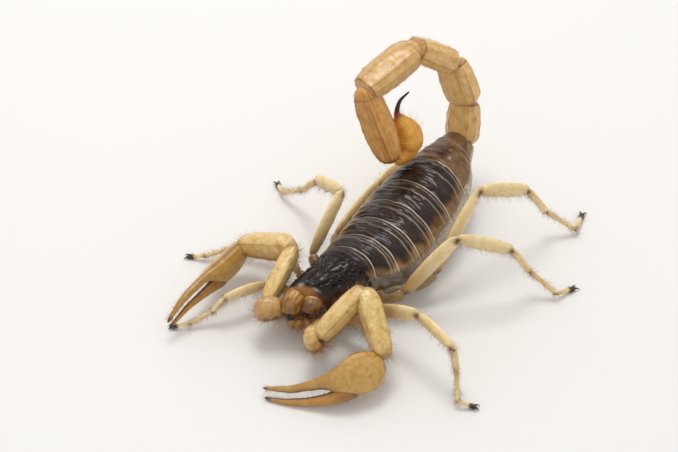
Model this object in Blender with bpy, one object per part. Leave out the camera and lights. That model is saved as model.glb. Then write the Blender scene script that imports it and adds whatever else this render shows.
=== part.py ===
"""A giant desert hairy scorpion as a still, life-size model.

The frame is +Z up with the floor at z = 0, the head towards -Y and the animal's
left towards +X. The origin is on the floor below the middle of the whole pose.
All sizes below are in millimetres and become metres where a mesh is written.

The trunk is a row of oval cross-sections. Its back is covered by the carapace and
seven tergites, with the soft belly below them. Each limb is a chain of segments,
given by a start point and by the length, heading and rise of each segment.
Neighbouring segments are cut on the plane that halves their bend.
"""

import math

import bmesh
import bpy
import numpy as np

MM = 0.001
GAP = 0.3
POSE_MIDDLE = np.array([2.2, 22.1, 0.0])
UP = np.array([0.0, 0.0, 1.0])
LEFTWARDS = np.array([1.0, 0.0, 0.0])
BACKWARDS = np.array([0.0, 1.0, 0.0])

# ---------------------------------------------------------------- trunk sizes
CARAPACE_FRONT = 2.0
CARAPACE_REAR = 12.6
TRUNK_END = 52.6
# how far back, how far aside, height of the middle, half width, half height
TRUNK = (
    (0.0, -1.1, 7.2, 4.1, 2.6),
    (4.0, -0.5, 7.5, 4.6, 3.7),
    (9.0, 0.4, 7.8, 5.0, 4.1),
    (13.0, 1.3, 7.9, 5.9, 4.4),
    (17.0, 2.6, 7.7, 7.5, 4.9),
    (22.0, 2.8, 7.5, 8.3, 5.2),
    (28.0, 2.3, 7.4, 8.5, 5.4),
    (34.0, 2.0, 7.5, 8.4, 5.4),
    (40.0, 1.5, 7.7, 7.6, 5.3),
    (46.0, 1.2, 8.3, 6.0, 4.9),
    (50.0, 0.5, 9.0, 4.0, 4.2),
    (TRUNK_END, 0.2, 9.7, 3.2, 3.3),
)
# the edges of the plates run further forward down the flanks, by this much at most
EDGE_SWEEP = 1.6
TERGITE_REAR_EDGES = (15.0, 18.8, 24.0, 29.4, 35.6, 42.8, TRUNK_END)
TERGITE_THICKNESS = 0.9
# the block under the jaws, measured like the rows of TRUNK
LOBES = ((-1.0, -0.2, 4.7, 1.6, 1.3), (1.8, -0.7, 4.9, 2.0, 2.0))
TERGITE_SPREAD = 68.0
LAST_TERGITE_SPREAD = 60.0
SHOULDER_SPREAD = 76.0

# ----------------------------------------------------------------- limb poses
# start point, then (length, heading, rise) of each segment; heading 0 is to the
# animal's left and 90 is tailwards, and rise is the angle above the floor
LEG_POSES = {
    ("left", 1): ((5.0, 5.6, 4.4), ((2.0, -6, 6), (3.1, 25, 19), (7.0, -29, -22),
                                    (3.8, -81, -12), (3.2, -124, -20), (2.4, -138, -17))),
    ("left", 2): ((6.5, 9.6, 4.6), ((2.9, -4, 20), (10.8, -1, 26), (9.3, -17, -6),
                                    (5.7, 47, -82), (5.7, -55, -24), (3.0, 27, -18))),
    ("left", 3): ((8.6, 14.2, 4.6), ((3.7, 38, 16), (13.8, 59, 43), (10.6, 39, -19),
                                     (7.3, 49, -59), (6.7, 15, -37), (4.0, 69, -13))),
    ("left", 4): ((11.0, 20.6, 4.2), ((4.2, 57, 17), (16.8, 87, 41), (10.8, 58, -19),
                                      (8.5, 63, -58), (7.4, 33, -37), (5.2, 106, -10))),
    ("right", 1): ((-5.1, 6.0, 4.4), ((1.9, -174, 3), (4.1, -160, 10), (8.2, -118, 0),
                                      (3.2, -128, -48), (4.9, -124, -19), (3.0, -146, -15))),
    ("right", 2): ((-5.5, 9.8, 4.5), ((2.5, 161, 7), (8.1, 149, 7), (7.2, -162, -13),
                                      (3.3, -131, -29), (4.9, -140, -17), (3.0, -157, -15))),
    ("right", 3): ((-5.6, 13.6, 4.6), ((3.1, 146, 19), (12.7, 85, 48), (9.7, 156, -24),
                                       (7.2, 161, -51), (6.8, 171, -37), (3.6, 142, -15))),
    ("right", 4): ((-5.4, 19.6, 4.0), ((4.4, 129, 3), (14.9, 92, 5), (7.9, 88, -4),
                                       (7.6, 128, -14), (8.0, 139, -13), (3.3, 141, -14))),
}
PALP_POSES = {
    "left": ((4.2, -3.6, 6.2), ((2.3, 25, 26), (11.5, 74, 27), (12.2, -37, -31),
                                (9.1, -113, -12), (13.9, -152, -10))),
    "right": ((-4.5, -2.6, 6.0), ((3.2, 138, 21), (11.5, 99, 19), (11.8, -176, -22),
                                  (10.0, -92, -6), (12.2, -92, -7))),
}
PALP_COXA_ENDS = {
    "left": ((3.3, 1.7, 5.2), (4.07, -0.6, 5.96)),
    "right": ((-4.6, 1.7, 5.0), (-4.7, 0.9, 5.45)),
}
CHELICERA_POSES = {
    "left": ((1.0, 1.6, 7.2), ((0.7, -85, -12), (0.8, -85, -20), (0.9, -95, -40))),
    "right": ((-2.4, 1.6, 7.2), ((1.0, -85, -12), (1.2, -75, -20), (1.2, -60, -40))),
}
TAIL_POSE = ((0.7, 52.9, 9.8), ((8.1, 114, 68), (9.0, -174, 69), (9.4, -122, 36),
                                (13.3, -102, -11), (14.9, -4, -64)))
TELSON_POSE = ((-4.1, 37.4, 13.4), ((3.4, 90, 14), (2.6, 95, 66), (3.3, -142, 70),
                                    (2.0, -170, 44)))
ACULEUS_POSE = ((-6.5, 40.7, 21.6), ((1.9, -171, 78), (1.9, 95, 56), (2.3, 82, 20)))

# -------------------------------------------------- limb sizes: half side, half tall
LEG_SCALES = {1: 0.82, 2: 0.92, 3: 1.0, 4: 1.05}
LEG_FEMUR = (0.85, 1.75)
LEG_PATELLA = (0.8, 1.3)
LEG_TIBIA = (0.7, 0.85)
LEG_BASITARSUS = (0.58, 0.65)
LEG_TARSUS = (0.55, 0.55)
COXA_CLEARANCE = 0.75
SOLE_DEPTH = 0.5
PALP_COXA = (1.15, 1.15)
PALP_TROCHANTER = {"left": (2.3, 2.3), "right": (2.5, 2.4)}
PALP_FEMUR = (1.75, 2.0)
PALP_PATELLA = (2.1, 2.35)
PALM = (2.0, 3.4)
FIXED_FINGER = (1.0, 1.5)
MOVABLE_FINGER = (0.85, 0.95)
FINGER_TIP = 0.3
# the side of each palm that the fixed finger continues
PALM_CREST = {"left": (-0.57, 0.41, 0.71), "right": (0.16, -0.2, 0.97)}
TAIL_SIZES = ((3.4, 2.6), (3.7, 2.6), (3.3, 2.4), (3.1, 2.35), (2.7, 2.3))
VESICLE = (2.8, 2.9)
ACULEUS = 0.6
ACULEUS_TIP = 0.27

TAN = (0.60, 0.42, 0.18)
STRAW = (0.72, 0.60, 0.36)
UMBER = (0.035, 0.022, 0.018)
MAUVE = (0.30, 0.24, 0.21)
AMBER = (0.52, 0.24, 0.05)


def unit(vector):
    return np.asarray(vector, float) / np.linalg.norm(vector)


def direction(heading, rise):
    """Unit vector for a heading round +Z and a rise above the floor, in degrees."""
    turn, tilt = math.radians(heading), math.radians(rise)
    return np.array([math.cos(turn) * math.cos(tilt), math.sin(turn) * math.cos(tilt), math.sin(tilt)])


def joints_of(pose):
    """The joint points of a limb, walked from its start along its segments."""
    start, segments = pose
    points = [np.array(start)]
    for length, heading, rise in segments:
        points.append(points[-1] + length * direction(heading, rise))
    return points


def material_for(name, colour, roughness=0.4):
    material = bpy.data.materials.new(name)
    material.use_nodes = True
    shader = material.node_tree.nodes["Principled BSDF"]
    shader.inputs["Base Color"].default_value = (*colour, 1.0)
    shader.inputs["Roughness"].default_value = roughness
    shader.inputs["Metallic"].default_value = 0.0
    return material


def closed_body(name, rings, colour, as_plate=False):
    """Join rings of points, all of one size, into a closed body.

    The ends are flat, except that a plate's rings run along its outer side and back
    along its inner side, and its ends join the two sides.
    """
    mesh = bmesh.new()
    loops = [[mesh.verts.new((np.asarray(point) - POSE_MIDDLE) * MM) for point in ring] for ring in rings]
    for here, there in zip(loops, loops[1:]):
        for index in range(len(here)):
            after = (index + 1) % len(here)
            mesh.faces.new((here[index], here[after], there[after], there[index]))
    for end in (loops[0][::-1], loops[-1]):
        if as_plate:
            for index in range(len(end) // 2 - 1):
                mesh.faces.new((end[index], end[index + 1], end[-index - 2], end[-index - 1]))
        else:
            mesh.faces.new(end)
    bmesh.ops.triangulate(mesh, faces=mesh.faces[:])
    bmesh.ops.recalc_face_normals(mesh, faces=mesh.faces[:])
    data = bpy.data.meshes.new(name)
    mesh.to_mesh(data)
    mesh.free()
    data.materials.append(material_for(name, colour))
    body = bpy.data.objects.new(name, data)
    bpy.context.collection.objects.link(body)
    data.shade_smooth()
    data.set_sharp_from_angle(angle=math.radians(40))
    return body


# ----------------------------------------------------------------------- trunk
def trunk_at(back):
    """Aside, height, half width and half height of the trunk, eased between the rows of TRUNK."""
    rows = np.array(TRUNK)
    slopes = np.gradient(rows[:, 1:], rows[:, 0], axis=0)
    index = int(np.clip(np.searchsorted(rows[:, 0], back) - 1, 0, len(rows) - 2))
    span = rows[index + 1, 0] - rows[index, 0]
    t = (back - rows[index, 0]) / span
    return (
        (1 + 2 * t) * (1 - t) ** 2 * rows[index, 1:]
        + t * (1 - t) ** 2 * span * slopes[index]
        + t * t * (3 - 2 * t) * rows[index + 1, 1:]
        - t * t * (1 - t) * span * slopes[index + 1]
    )


def trunk_point(back, angle, inset=0.0, sweep=0.0):
    """Point on the trunk, the angle in degrees counted from the top towards the animal's left.

    The sweep brings the flanks of an edge that far forward.
    """
    turn = math.radians(angle)
    back = back - sweep * math.sin(turn) ** 2
    aside, height, half_width, half_height = trunk_at(back)
    return np.array([
        aside + (half_width - inset) * math.sin(turn),
        back,
        height + (half_height - inset) * math.cos(turn),
    ])


def ahead_of_tail(ring, at_end):
    """Keep a ring of the trunk in front of the plane where the tail begins, or lay it on that plane."""
    root = np.array(TAIL_POSE[0])
    plane = halving_plane(BACKWARDS, direction(*TAIL_POSE[1][0][1:]))
    laid = []
    for point in ring:
        past = (np.dot(point - root, plane) + 0.5 * GAP) / plane[1]
        laid.append(point - past * BACKWARDS if at_end or past > 0.0 else point)
    return laid


def dorsal_plate(name, front, rear, spread, colour, columns=15, rows=4):
    """A curved plate over the back, between two edges given as (how far back, sweep of the flanks)."""
    angles = np.linspace(-spread, spread, columns)
    rings = []
    for share in np.linspace(0.0, 1.0, rows):
        back, sweep = (1.0 - share) * np.array(front) + share * np.array(rear)
        outer = [trunk_point(back, angle, 0.0, sweep) for angle in angles]
        inner = [trunk_point(back, angle, TERGITE_THICKNESS, sweep) for angle in angles[::-1]]
        rings.append(ahead_of_tail(outer + inner, back > TRUNK_END - 1.0))
    return closed_body(name, rings, colour, as_plate=True)


def build_carapace():
    """The carapace: a solid dome over the front of the trunk, its front edge rounded off."""
    angles = np.linspace(-90, 90, 17)
    rings = [[trunk_point(CARAPACE_FRONT, angle, 0.6) + 0.5 * GAP * UP for angle in angles]]
    for back in (CARAPACE_FRONT + 0.4, 4.0, 6.5, 9.5, CARAPACE_REAR - GAP):
        rings.append([trunk_point(back, angle) + 0.5 * GAP * UP for angle in angles])
    return closed_body("carapace", rings, UMBER)


def build_prosoma_underside():
    """The coxae and sternum under the carapace, as one block that runs forward under the jaws."""
    angles = np.linspace(90, 270, 13)
    rings = []
    for back, aside, height, half_width, half_height in LOBES:
        turns = np.radians(angles)
        rings.append([(aside + half_width * math.sin(turn), back, height + half_height * math.cos(turn))
                      for turn in turns])
    for back in (CARAPACE_FRONT + 0.6, 4.5, 7.0, 10.0, CARAPACE_REAR - GAP):
        rings.append([trunk_point(back, angle, GAP) - 0.5 * GAP * UP for angle in angles])
    return closed_body("prosoma_underside", rings, TAN)


def build_tergites():
    front = (CARAPACE_REAR, 0.0)
    for number, edge in enumerate(TERGITE_REAR_EDGES[:-1], start=1):
        dorsal_plate(f"tergite_{number}", front, (edge - GAP, EDGE_SWEEP), TERGITE_SPREAD, UMBER)
        front = (edge, EDGE_SWEEP)
    dorsal_plate("tergite_7", front, (TRUNK_END - GAP, 0.0), LAST_TERGITE_SPREAD, AMBER)


def build_belly():
    """The soft flanks and the sternites: full size at the sides, stepped in under the tergites."""
    angles = np.linspace(-180, 180, 37)[:-1]
    under = TERGITE_THICKNESS + 1.5 * GAP
    rings = []
    for back in (CARAPACE_REAR, 14.5, 17.0, 20.0, 24.0, 28.0, 32.0, 36.0, 39.5, 42.8, 46.0, 49.2,
                 TRUNK_END):
        ring = []
        for angle in angles:
            inset = under if abs(angle) < SHOULDER_SPREAD else 0.0
            ring.append(trunk_point(back, angle, inset))
        rings.append(ahead_of_tail(ring, back > TRUNK_END - 1.0))
    return closed_body("mesosoma_belly", rings, MAUVE)


# ----------------------------------------------------------------------- limbs
def cross_axes(along, reference):
    """Side and tall directions of a segment that runs along, its tall side facing the reference."""
    tall = unit(reference - np.dot(reference, along) * along)
    return np.cross(along, tall), tall


def oval(half_side, half_tall, along, reference, sides):
    """Offsets of an oval cross-section round a segment's axis."""
    side, tall = cross_axes(along, reference)
    turns = 2 * math.pi * (np.arange(sides) + 0.5) / sides
    return [half_side * math.cos(turn) * side + half_tall * math.sin(turn) * tall for turn in turns]


def ring_on_plane(centre, along, plane, half_side, half_tall, reference, sides):
    """An oval ring round a segment's axis, slid along that axis onto a plane through its centre."""
    return [
        centre + offset - along * np.dot(offset, plane) / np.dot(along, plane)
        for offset in oval(half_side, half_tall, along, reference, sides)
    ]


def halving_plane(before, after):
    """Normal of the plane that halves the bend between two directions."""
    return unit(unit(before) + unit(after))


def segment_rings(points, index, sizes, profile, reference=UP, sides=10, before=None):
    """Rings of one segment of a limb, its ends cut on the planes that halve the bends.

    The profile lists (share of the length, share of the full size). The slant of each
    end dies away along the segment, and a sharper bend makes a narrower end.
    """
    start, end = points[index], points[index + 1]
    along = unit(end - start)
    if index:
        before = start - points[index - 1]
    first = along if before is None else halving_plane(before, along)
    last = halving_plane(along, points[index + 2] - end) if index + 2 < len(points) else along
    first_bend, last_bend = np.dot(along, first), np.dot(along, last)
    start = start + along * 0.5 * GAP / first_bend
    end = end - along * 0.5 * GAP / last_bend
    rings = []
    for share, size in profile:
        narrow = 1.0 - (1.0 - first_bend) * (1.0 - share) ** 3 - (1.0 - last_bend) * share ** 3
        centre = start + share * (end - start)
        ring = []
        for offset in oval(sizes[0] * size * narrow, sizes[1] * size * narrow, along, reference, sides):
            slide = (1.0 - share) ** 2 * np.dot(offset, first) / first_bend
            slide += share ** 2 * np.dot(offset, last) / last_bend
            ring.append(centre + offset - slide * along)
        rings.append(ring)
    return rings


FEMUR_PROFILE = ((0.0, 0.62), (0.18, 0.9), (0.5, 1.0), (0.82, 0.9), (1.0, 0.66))
PATELLA_PROFILE = ((0.0, 0.66), (0.18, 0.95), (0.5, 1.0), (0.82, 0.88), (1.0, 0.68))


def floored(rings):
    """Bring the lowest points of a foot to the floor, which leaves a small flat sole."""
    return [
        [np.array([point[0], point[1], 0.0 if point[2] < SOLE_DEPTH else point[2]]) for point in ring]
        for ring in rings
    ]


def foot_rings(points, scale):
    """Tibia, basitarsus and tarsus in one bent length, from the knee-side joint to the claws."""
    rings = []
    widths = (LEG_TIBIA, LEG_BASITARSUS, LEG_TARSUS)
    for part, (half_side, half_tall) in enumerate(widths):
        index = 3 + part
        start, end = points[index], points[index + 1]
        along = unit(end - start)
        before = halving_plane(start - points[index - 1], along)
        shares = (0.0, 0.3) if part == 0 else (0.3,)
        for share in shares:
            plane = before if share == 0.0 else along
            centre = start + share * (end - start)
            if share == 0.0:
                centre = centre + along * 0.5 * GAP / np.dot(along, before)
            size = scale * (0.85 if share == 0.0 else 1.0)
            rings.append(ring_on_plane(centre, along, plane, half_side * size, half_tall * size, UP, 8))
        if part < 2:
            after = halving_plane(along, points[index + 2] - end)
            bend = np.dot(along, after)
            size = scale * (0.8 + 0.2 * bend)
            rings.append(ring_on_plane(end, along, after, half_side * size * bend, half_tall * size * bend,
                                       UP, 8))
        else:
            rings.append(ring_on_plane(end, along, along, 0.35, 0.3, UP, 8))
    return floored(rings)


def coxa_root(start):
    """Where a leg leaves the trunk: the trunk's surface nearest the leg's first joint, plus a gap."""
    aside, height, half_width, half_height = trunk_at(start[1])
    across, down = (start[0] - aside) / half_width, (start[2] - height) / half_height
    surface = trunk_point(start[1], math.degrees(math.atan2(across, down)))
    return surface + COXA_CLEARANCE * unit(start - surface)


def build_legs():
    for (side, number), pose in LEG_POSES.items():
        name = f"leg_{number}_{side}"
        points = joints_of(pose)
        scale = LEG_SCALES[number]
        femur = (LEG_FEMUR[0] * scale, LEG_FEMUR[1] * scale)
        patella = (LEG_PATELLA[0] * scale, LEG_PATELLA[1] * scale)
        bend = halving_plane(points[1] - points[0], points[2] - points[1])
        root = unit(points[1] - points[0])
        coxa = coxa_root(points[0])
        trochanter = [
            ring_on_plane(coxa, unit(points[0] - coxa), unit(points[0] - coxa), femur[0], femur[1] * 0.5,
                          UP, 10),
            ring_on_plane(points[0] + 0.5 * (points[1] - points[0]), root, root, femur[0],
                          femur[1] * 0.72, UP, 10),
            ring_on_plane(points[1], root, bend, femur[0], femur[1] * 0.75, UP, 10),
        ]
        femur_rings = segment_rings(points, 1, femur, FEMUR_PROFILE)
        closed_body(name + "_femur", trochanter + femur_rings[1:], STRAW)
        closed_body(name + "_patella", segment_rings(points, 2, patella, PATELLA_PROFILE), STRAW)
        closed_body(name + "_foot", foot_rings(points, scale), STRAW)


def palm_rings(points, crest):
    """The palm with its fixed finger: a broad oval that narrows into the finger on its crest side."""
    root, knuckle, tip = points[3], points[4], points[5]
    into = halving_plane(root - points[2], knuckle - root)
    palm_way, finger_way = unit(knuckle - root), unit(tip - knuckle)
    turn = halving_plane(palm_way, finger_way)
    start = root + palm_way * 0.5 * GAP / np.dot(palm_way, into)
    rings = [ring_on_plane(start, palm_way, into, 1.3, 1.6, crest, 12)]
    for share, size in ((0.15, 0.78), (0.4, 1.0), (0.7, 0.97)):
        centre = start + share * (knuckle - start)
        rings.append(ring_on_plane(centre, palm_way, palm_way, PALM[0] * size, PALM[1] * size, crest, 12))
    rings.append(ring_on_plane(knuckle, palm_way, turn, PALM[0] * 0.8, PALM[1] * 0.82, crest, 12))
    length = np.linalg.norm(tip - knuckle)
    for share, size in ((0.1, 1.0), (0.35, 0.72), (0.7, 0.5), (1.0, 0.0)):
        side, tall = cross_axes(finger_way, crest)
        lift = 1.1 * (1 - share) + 0.35 * math.sin(math.pi * share)
        centre = knuckle + share * length * finger_way + lift * tall
        half_side = max(FIXED_FINGER[0] * size, FINGER_TIP)
        half_tall = max(FIXED_FINGER[1] * size, FINGER_TIP)
        rings.append(ring_on_plane(centre, finger_way, finger_way, half_side, half_tall, crest, 12))
    return rings


def finger_rings(points, crest):
    """The movable finger, hinged beside the fixed one and bowed away from it."""
    knuckle, tip = points[4], points[5]
    way = unit(tip - knuckle)
    side, tall = cross_axes(way, crest)
    length = np.linalg.norm(tip - knuckle)
    rings = []
    for share, size in ((0.1, 0.8), (0.2, 1.0), (0.45, 0.85), (0.75, 0.62), (0.98, 0.0)):
        drop = -1.75 - 0.35 * math.sin(math.pi * share)
        centre = knuckle + share * length * way + drop * tall
        half_side = max(MOVABLE_FINGER[0] * size, FINGER_TIP)
        half_tall = max(MOVABLE_FINGER[1] * size, FINGER_TIP)
        rings.append(ring_on_plane(centre, way, way, half_side, half_tall, crest, 10))
    return rings


def build_palps():
    for side, pose in PALP_POSES.items():
        points = joints_of(pose)
        crest = np.array(PALM_CREST[side])
        name = f"palp_{side}"
        blob = ((0.0, 0.6), (0.3, 1.0), (0.7, 1.0), (1.0, 0.75))
        coxa = [np.array(end) for end in PALP_COXA_ENDS[side]]
        closed_body(name + "_coxa", bent_rings(coxa, (PALP_COXA, PALP_COXA), 10), TAN)
        closed_body(name + "_trochanter", segment_rings(points, 0, PALP_TROCHANTER[side], blob), TAN)
        closed_body(name + "_femur", segment_rings(points, 1, PALP_FEMUR, FEMUR_PROFILE, sides=12), TAN)
        closed_body(name + "_patella", segment_rings(points, 2, PALP_PATELLA, PATELLA_PROFILE, sides=12),
                    TAN)
        closed_body(name + "_palm", palm_rings(points, crest), TAN)
        closed_body(name + "_movable_finger", finger_rings(points, crest), AMBER)


# ------------------------------------------------------------------------ tail
TAIL_PROFILE = ((0.0, 0.74), (0.12, 0.9), (0.35, 1.0), (0.65, 1.0), (0.9, 0.92), (1.0, 0.78))


def build_tail():
    points = joints_of(TAIL_POSE)
    for index, sizes in enumerate(TAIL_SIZES):
        rings = segment_rings(points, index, (sizes[1], sizes[0]), TAIL_PROFILE, LEFTWARDS, 14, BACKWARDS)
        closed_body(f"metasoma_{index + 1}", rings, TAN)


def build_telson():
    """The bulb of the sting, on a narrow neck beside the last tail segment, and its point."""
    bulb = joints_of(TELSON_POSE)
    sizes = (0.45, 0.85, 1.0, 0.62, 0.3)
    closed_body("telson_vesicle", bent_rings(bulb, [(VESICLE[0] * s, VESICLE[1] * s) for s in sizes], 14),
                AMBER)
    point = joints_of(ACULEUS_POSE)
    point[0] = point[0] + GAP * unit(point[1] - point[0])
    shares = np.linspace(1, 0, len(point))
    radii = [ACULEUS_TIP + (ACULEUS - ACULEUS_TIP) * share for share in shares]
    closed_body("aculeus", bent_rings(point, [(r, r) for r in radii], 8), UMBER)


def bent_rings(points, sizes, sides):
    """Rings at each point of a bent length, each on the plane that halves its bend."""
    rings = []
    for index, (half_side, half_tall) in enumerate(sizes):
        before = points[max(index, 1)] - points[max(index, 1) - 1]
        last = min(index, len(points) - 2)
        after = points[last + 1] - points[last]
        plane = halving_plane(before, after)
        rings.append(ring_on_plane(points[index], plane, plane, half_side, half_tall, LEFTWARDS, sides))
    return rings


# ------------------------------------------------------------ small face pieces
def build_chelicerae():
    """The two short jaws that stick out under the front edge of the carapace."""
    for side, pose in CHELICERA_POSES.items():
        sizes = ((1.15, 1.0), (1.25, 1.15), (1.0, 0.95), (0.45, 0.4))
        closed_body(f"chelicera_{side}", bent_rings(joints_of(pose), sizes, 10), AMBER)


def build_eyes():
    """The two median eyes on the crest of the carapace."""
    for side, sign in (("left", 1), ("right", -1)):
        base = trunk_point(3.8, sign * 10.0) + 2.2 * GAP * UP
        rings = []
        for lift, radius in ((0.0, 0.5), (0.3, 0.45), (0.5, 0.27)):
            rings.append([base + np.array([radius * math.cos(turn), radius * math.sin(turn), lift])
                          for turn in np.linspace(0, 2 * math.pi, 10, endpoint=False)])
        closed_body(f"eye_{side}", rings, UMBER)


def build_pectines():
    """The two combs under the front of the belly."""
    for side, sign in (("left", 1), ("right", -1)):
        root = trunk_point(17.5, 180 - sign * 14.0) - 0.9 * UP
        points = [root, root + (sign * 1.6, 1.6, 0.05), root + (sign * 4.0, 2.6, 0.5)]
        closed_body(f"pectine_{side}", bent_rings(points, ((0.3, 0.5), (0.3, 0.6), (0.26, 0.4)), 8), STRAW)


def clear_scene():
    for item in list(bpy.data.objects):
        bpy.data.objects.remove(item, do_unlink=True)


def main():
    clear_scene()
    build_carapace()
    build_prosoma_underside()
    build_tergites()
    build_belly()
    build_eyes()
    build_chelicerae()
    build_pectines()
    build_palps()
    build_legs()
    build_tail()
    build_telson()


main()
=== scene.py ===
"""The looks of a giant desert hairy scorpion, a still, life-size museum model.

Every shape is worked out in millimetres in the animal's own frame: the head towards
-Y, the animal's left towards +X, the floor at z = 0, and y = 0 just before the
carapace. POSE_MIDDLE takes it to the row's frame, and MM to metres.
"""
import math

import bpy
import numpy as np
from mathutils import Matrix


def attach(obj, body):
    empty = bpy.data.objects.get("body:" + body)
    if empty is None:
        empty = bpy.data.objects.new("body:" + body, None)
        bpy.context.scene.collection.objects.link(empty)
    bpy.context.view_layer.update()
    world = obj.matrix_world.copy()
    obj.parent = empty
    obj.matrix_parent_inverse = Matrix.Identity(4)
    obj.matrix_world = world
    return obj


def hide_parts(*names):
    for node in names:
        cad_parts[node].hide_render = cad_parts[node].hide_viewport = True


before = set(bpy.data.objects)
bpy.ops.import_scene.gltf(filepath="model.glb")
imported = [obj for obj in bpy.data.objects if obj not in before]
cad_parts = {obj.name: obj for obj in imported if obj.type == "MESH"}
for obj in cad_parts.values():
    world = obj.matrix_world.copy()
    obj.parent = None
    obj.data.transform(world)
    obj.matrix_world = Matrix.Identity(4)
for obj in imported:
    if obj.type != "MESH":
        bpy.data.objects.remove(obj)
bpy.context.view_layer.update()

MM = 0.001
POSE_MIDDLE = np.array([2.2, 22.1, 0.0])
UP = np.array([0.0, 0.0, 1.0])
LEFTWARDS = np.array([1.0, 0.0, 0.0])
BACKWARDS = np.array([0.0, 1.0, 0.0])
TURN = 2.0 * math.pi
# angles round a limb's section, from its side over its top
TOP, UNDER = 0.5 * math.pi, 1.5 * math.pi
# millimetres across the front of the trunk for each radian round it
ARC = 4.4

# --- the animal's sizes
# how far back, how far aside, height of the middle, half width, half height
TRUNK = np.array((
    (0, -1.1, 7.2, 4.1, 2.6), (4, -0.5, 7.5, 4.6, 3.7), (9, 0.4, 7.8, 5.0, 4.1), (13, 1.3, 7.9, 5.9, 4.4),
    (17, 2.6, 7.7, 7.5, 4.9), (22, 2.8, 7.5, 8.3, 5.2), (28, 2.3, 7.4, 8.5, 5.4), (34, 2.0, 7.5, 8.4, 5.4),
    (40, 1.5, 7.7, 7.6, 5.3), (46, 1.2, 8.3, 6.0, 4.9), (50, 0.5, 9.0, 4.0, 4.2), (52.6, 0.2, 9.7, 3.2, 3.3),
))
CARAPACE_FRONT = 2.0
CARAPACE_REAR = 12.6
TRUNK_END = 52.6
EDGE_SWEEP = 1.6
TERGITE_REAR_EDGES = (15.0, 18.8, 24.0, 29.4, 35.6, 42.8)
BELLY_EDGES = (19.5, 25.0, 31.0, 37.0, 43.0, 50.5)

# limbs: start point, then (length, heading, rise) of each segment; heading 0 is to the
# animal's left and 90 is tailwards, and rise is the angle above the floor
LEG_POSES = {
    ("left", 1): ((5.0, 5.6, 4.4), (
        (2.0, -6, 6), (3.1, 25, 19), (7.0, -29, -22), (3.8, -81, -12), (3.2, -124, -20), (2.4, -138, -17))),
    ("left", 2): ((6.5, 9.6, 4.6), (
        (2.9, -4, 20), (10.8, -1, 26), (9.3, -17, -6), (5.7, 47, -82), (5.7, -55, -24), (3.0, 27, -18))),
    ("left", 3): ((8.6, 14.2, 4.6), (
        (3.7, 38, 16), (13.8, 59, 43), (10.6, 39, -19), (7.3, 49, -59), (6.7, 15, -37), (4.0, 69, -13))),
    ("left", 4): ((11.0, 20.6, 4.2), (
        (4.2, 57, 17), (16.8, 87, 41), (10.8, 58, -19), (8.5, 63, -58), (7.4, 33, -37), (5.2, 106, -10))),
    ("right", 1): ((-5.1, 6.0, 4.4), (
        (1.9, -174, 3), (4.1, -160, 10), (8.2, -118, 0), (3.2, -128, -48), (4.9, -124, -19), (3.0, -146, -15))),
    ("right", 2): ((-5.5, 9.8, 4.5), (
        (2.5, 161, 7), (8.1, 149, 7), (7.2, -162, -13), (3.3, -131, -29), (4.9, -140, -17), (3.0, -157, -15))),
    ("right", 3): ((-5.6, 13.6, 4.6), (
        (3.1, 146, 19), (12.7, 85, 48), (9.7, 156, -24), (7.2, 161, -51), (6.8, 171, -37), (3.6, 142, -15))),
    ("right", 4): ((-5.4, 19.6, 4.0), (
        (4.4, 129, 3), (14.9, 92, 5), (7.9, 88, -4), (7.6, 128, -14), (8.0, 139, -13), (3.3, 141, -14))),
}
LEG_SCALES = {1: 0.82, 2: 0.92, 3: 1.0, 4: 1.05}
PALP_POSES = {
    "left": ((4.2, -3.6, 6.2), (
        (2.3, 25, 26), (11.5, 74, 27), (12.2, -37, -31), (9.1, -113, -12), (13.9, -152, -10))),
    "right": ((-4.5, -2.6, 6.0), (
        (3.2, 138, 21), (11.5, 99, 19), (11.8, -176, -22), (10.0, -92, -6), (12.2, -92, -7))),
}
PALP_COXA_ENDS = {
    "left": ((3.3, 1.7, 5.2), (4.07, -0.6, 5.96)),
    "right": ((-4.6, 1.7, 5.0), (-4.7, 0.9, 5.45)),
}
# the side of each palm that the fixed finger continues
PALM_CREST = {"left": (-0.57, 0.41, 0.71), "right": (0.0, -0.11, 0.99)}
# the jaws: points down the middle of each block, then root, bend, tip and thickness of
# its two fingers, and how brown it is towards them, which is partly painted shade: the
# left jaw lies in shadow and has the larger value
JAW_POSES = {
    "left": (((0.6, 4.6, 8.0), (0.8, 3.2, 8.05), (0.95, 2.2, 7.6), (1.0, 1.6, 6.7)),
             (((1.7, 2.0, 6.6), (1.25, 1.25, 6.35), (0.8, 1.0, 6.0), 0.78),
              ((0.4, 1.9, 6.9), (0.45, 1.2, 6.6), (0.7, 0.9, 6.1), 0.72)), 0.95),
    "right": (((-2.0, 3.2, 8.3), (-2.25, 1.7, 8.25), (-2.3, 0.6, 7.6), (-2.1, -0.15, 6.3)),
              (((-2.75, 0.25, 6.3), (-2.1, -0.5, 5.9), (-1.55, -0.75, 5.5), 0.92),
               ((-1.45, 0.2, 6.6), (-1.4, -0.5, 6.15), (-1.55, -0.8, 5.6), 0.85)), 0.35),
}
# inner end, outer end and half thickness of each lobe before the mouth
MOUTH_LOBES = (((-2.6, 4.0, 4.8), (-2.6, -0.2, 4.5), 0.95), ((-1.4, 4.0, 4.5), (-1.6, -1.0, 4.3), 0.95),
               ((-0.2, 4.0, 4.5), (-0.3, -0.8, 4.3), 0.95), ((1.0, 4.0, 4.8), (0.9, 0.3, 4.6), 0.95))
TAIL_POSE = ((0.3, 52.9, 10.0), (
    (8.1, 114, 68), (9.0, -174, 69), (9.4, -122, 36), (13.3, -102, -11), (14.9, -4, -64)))
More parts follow.
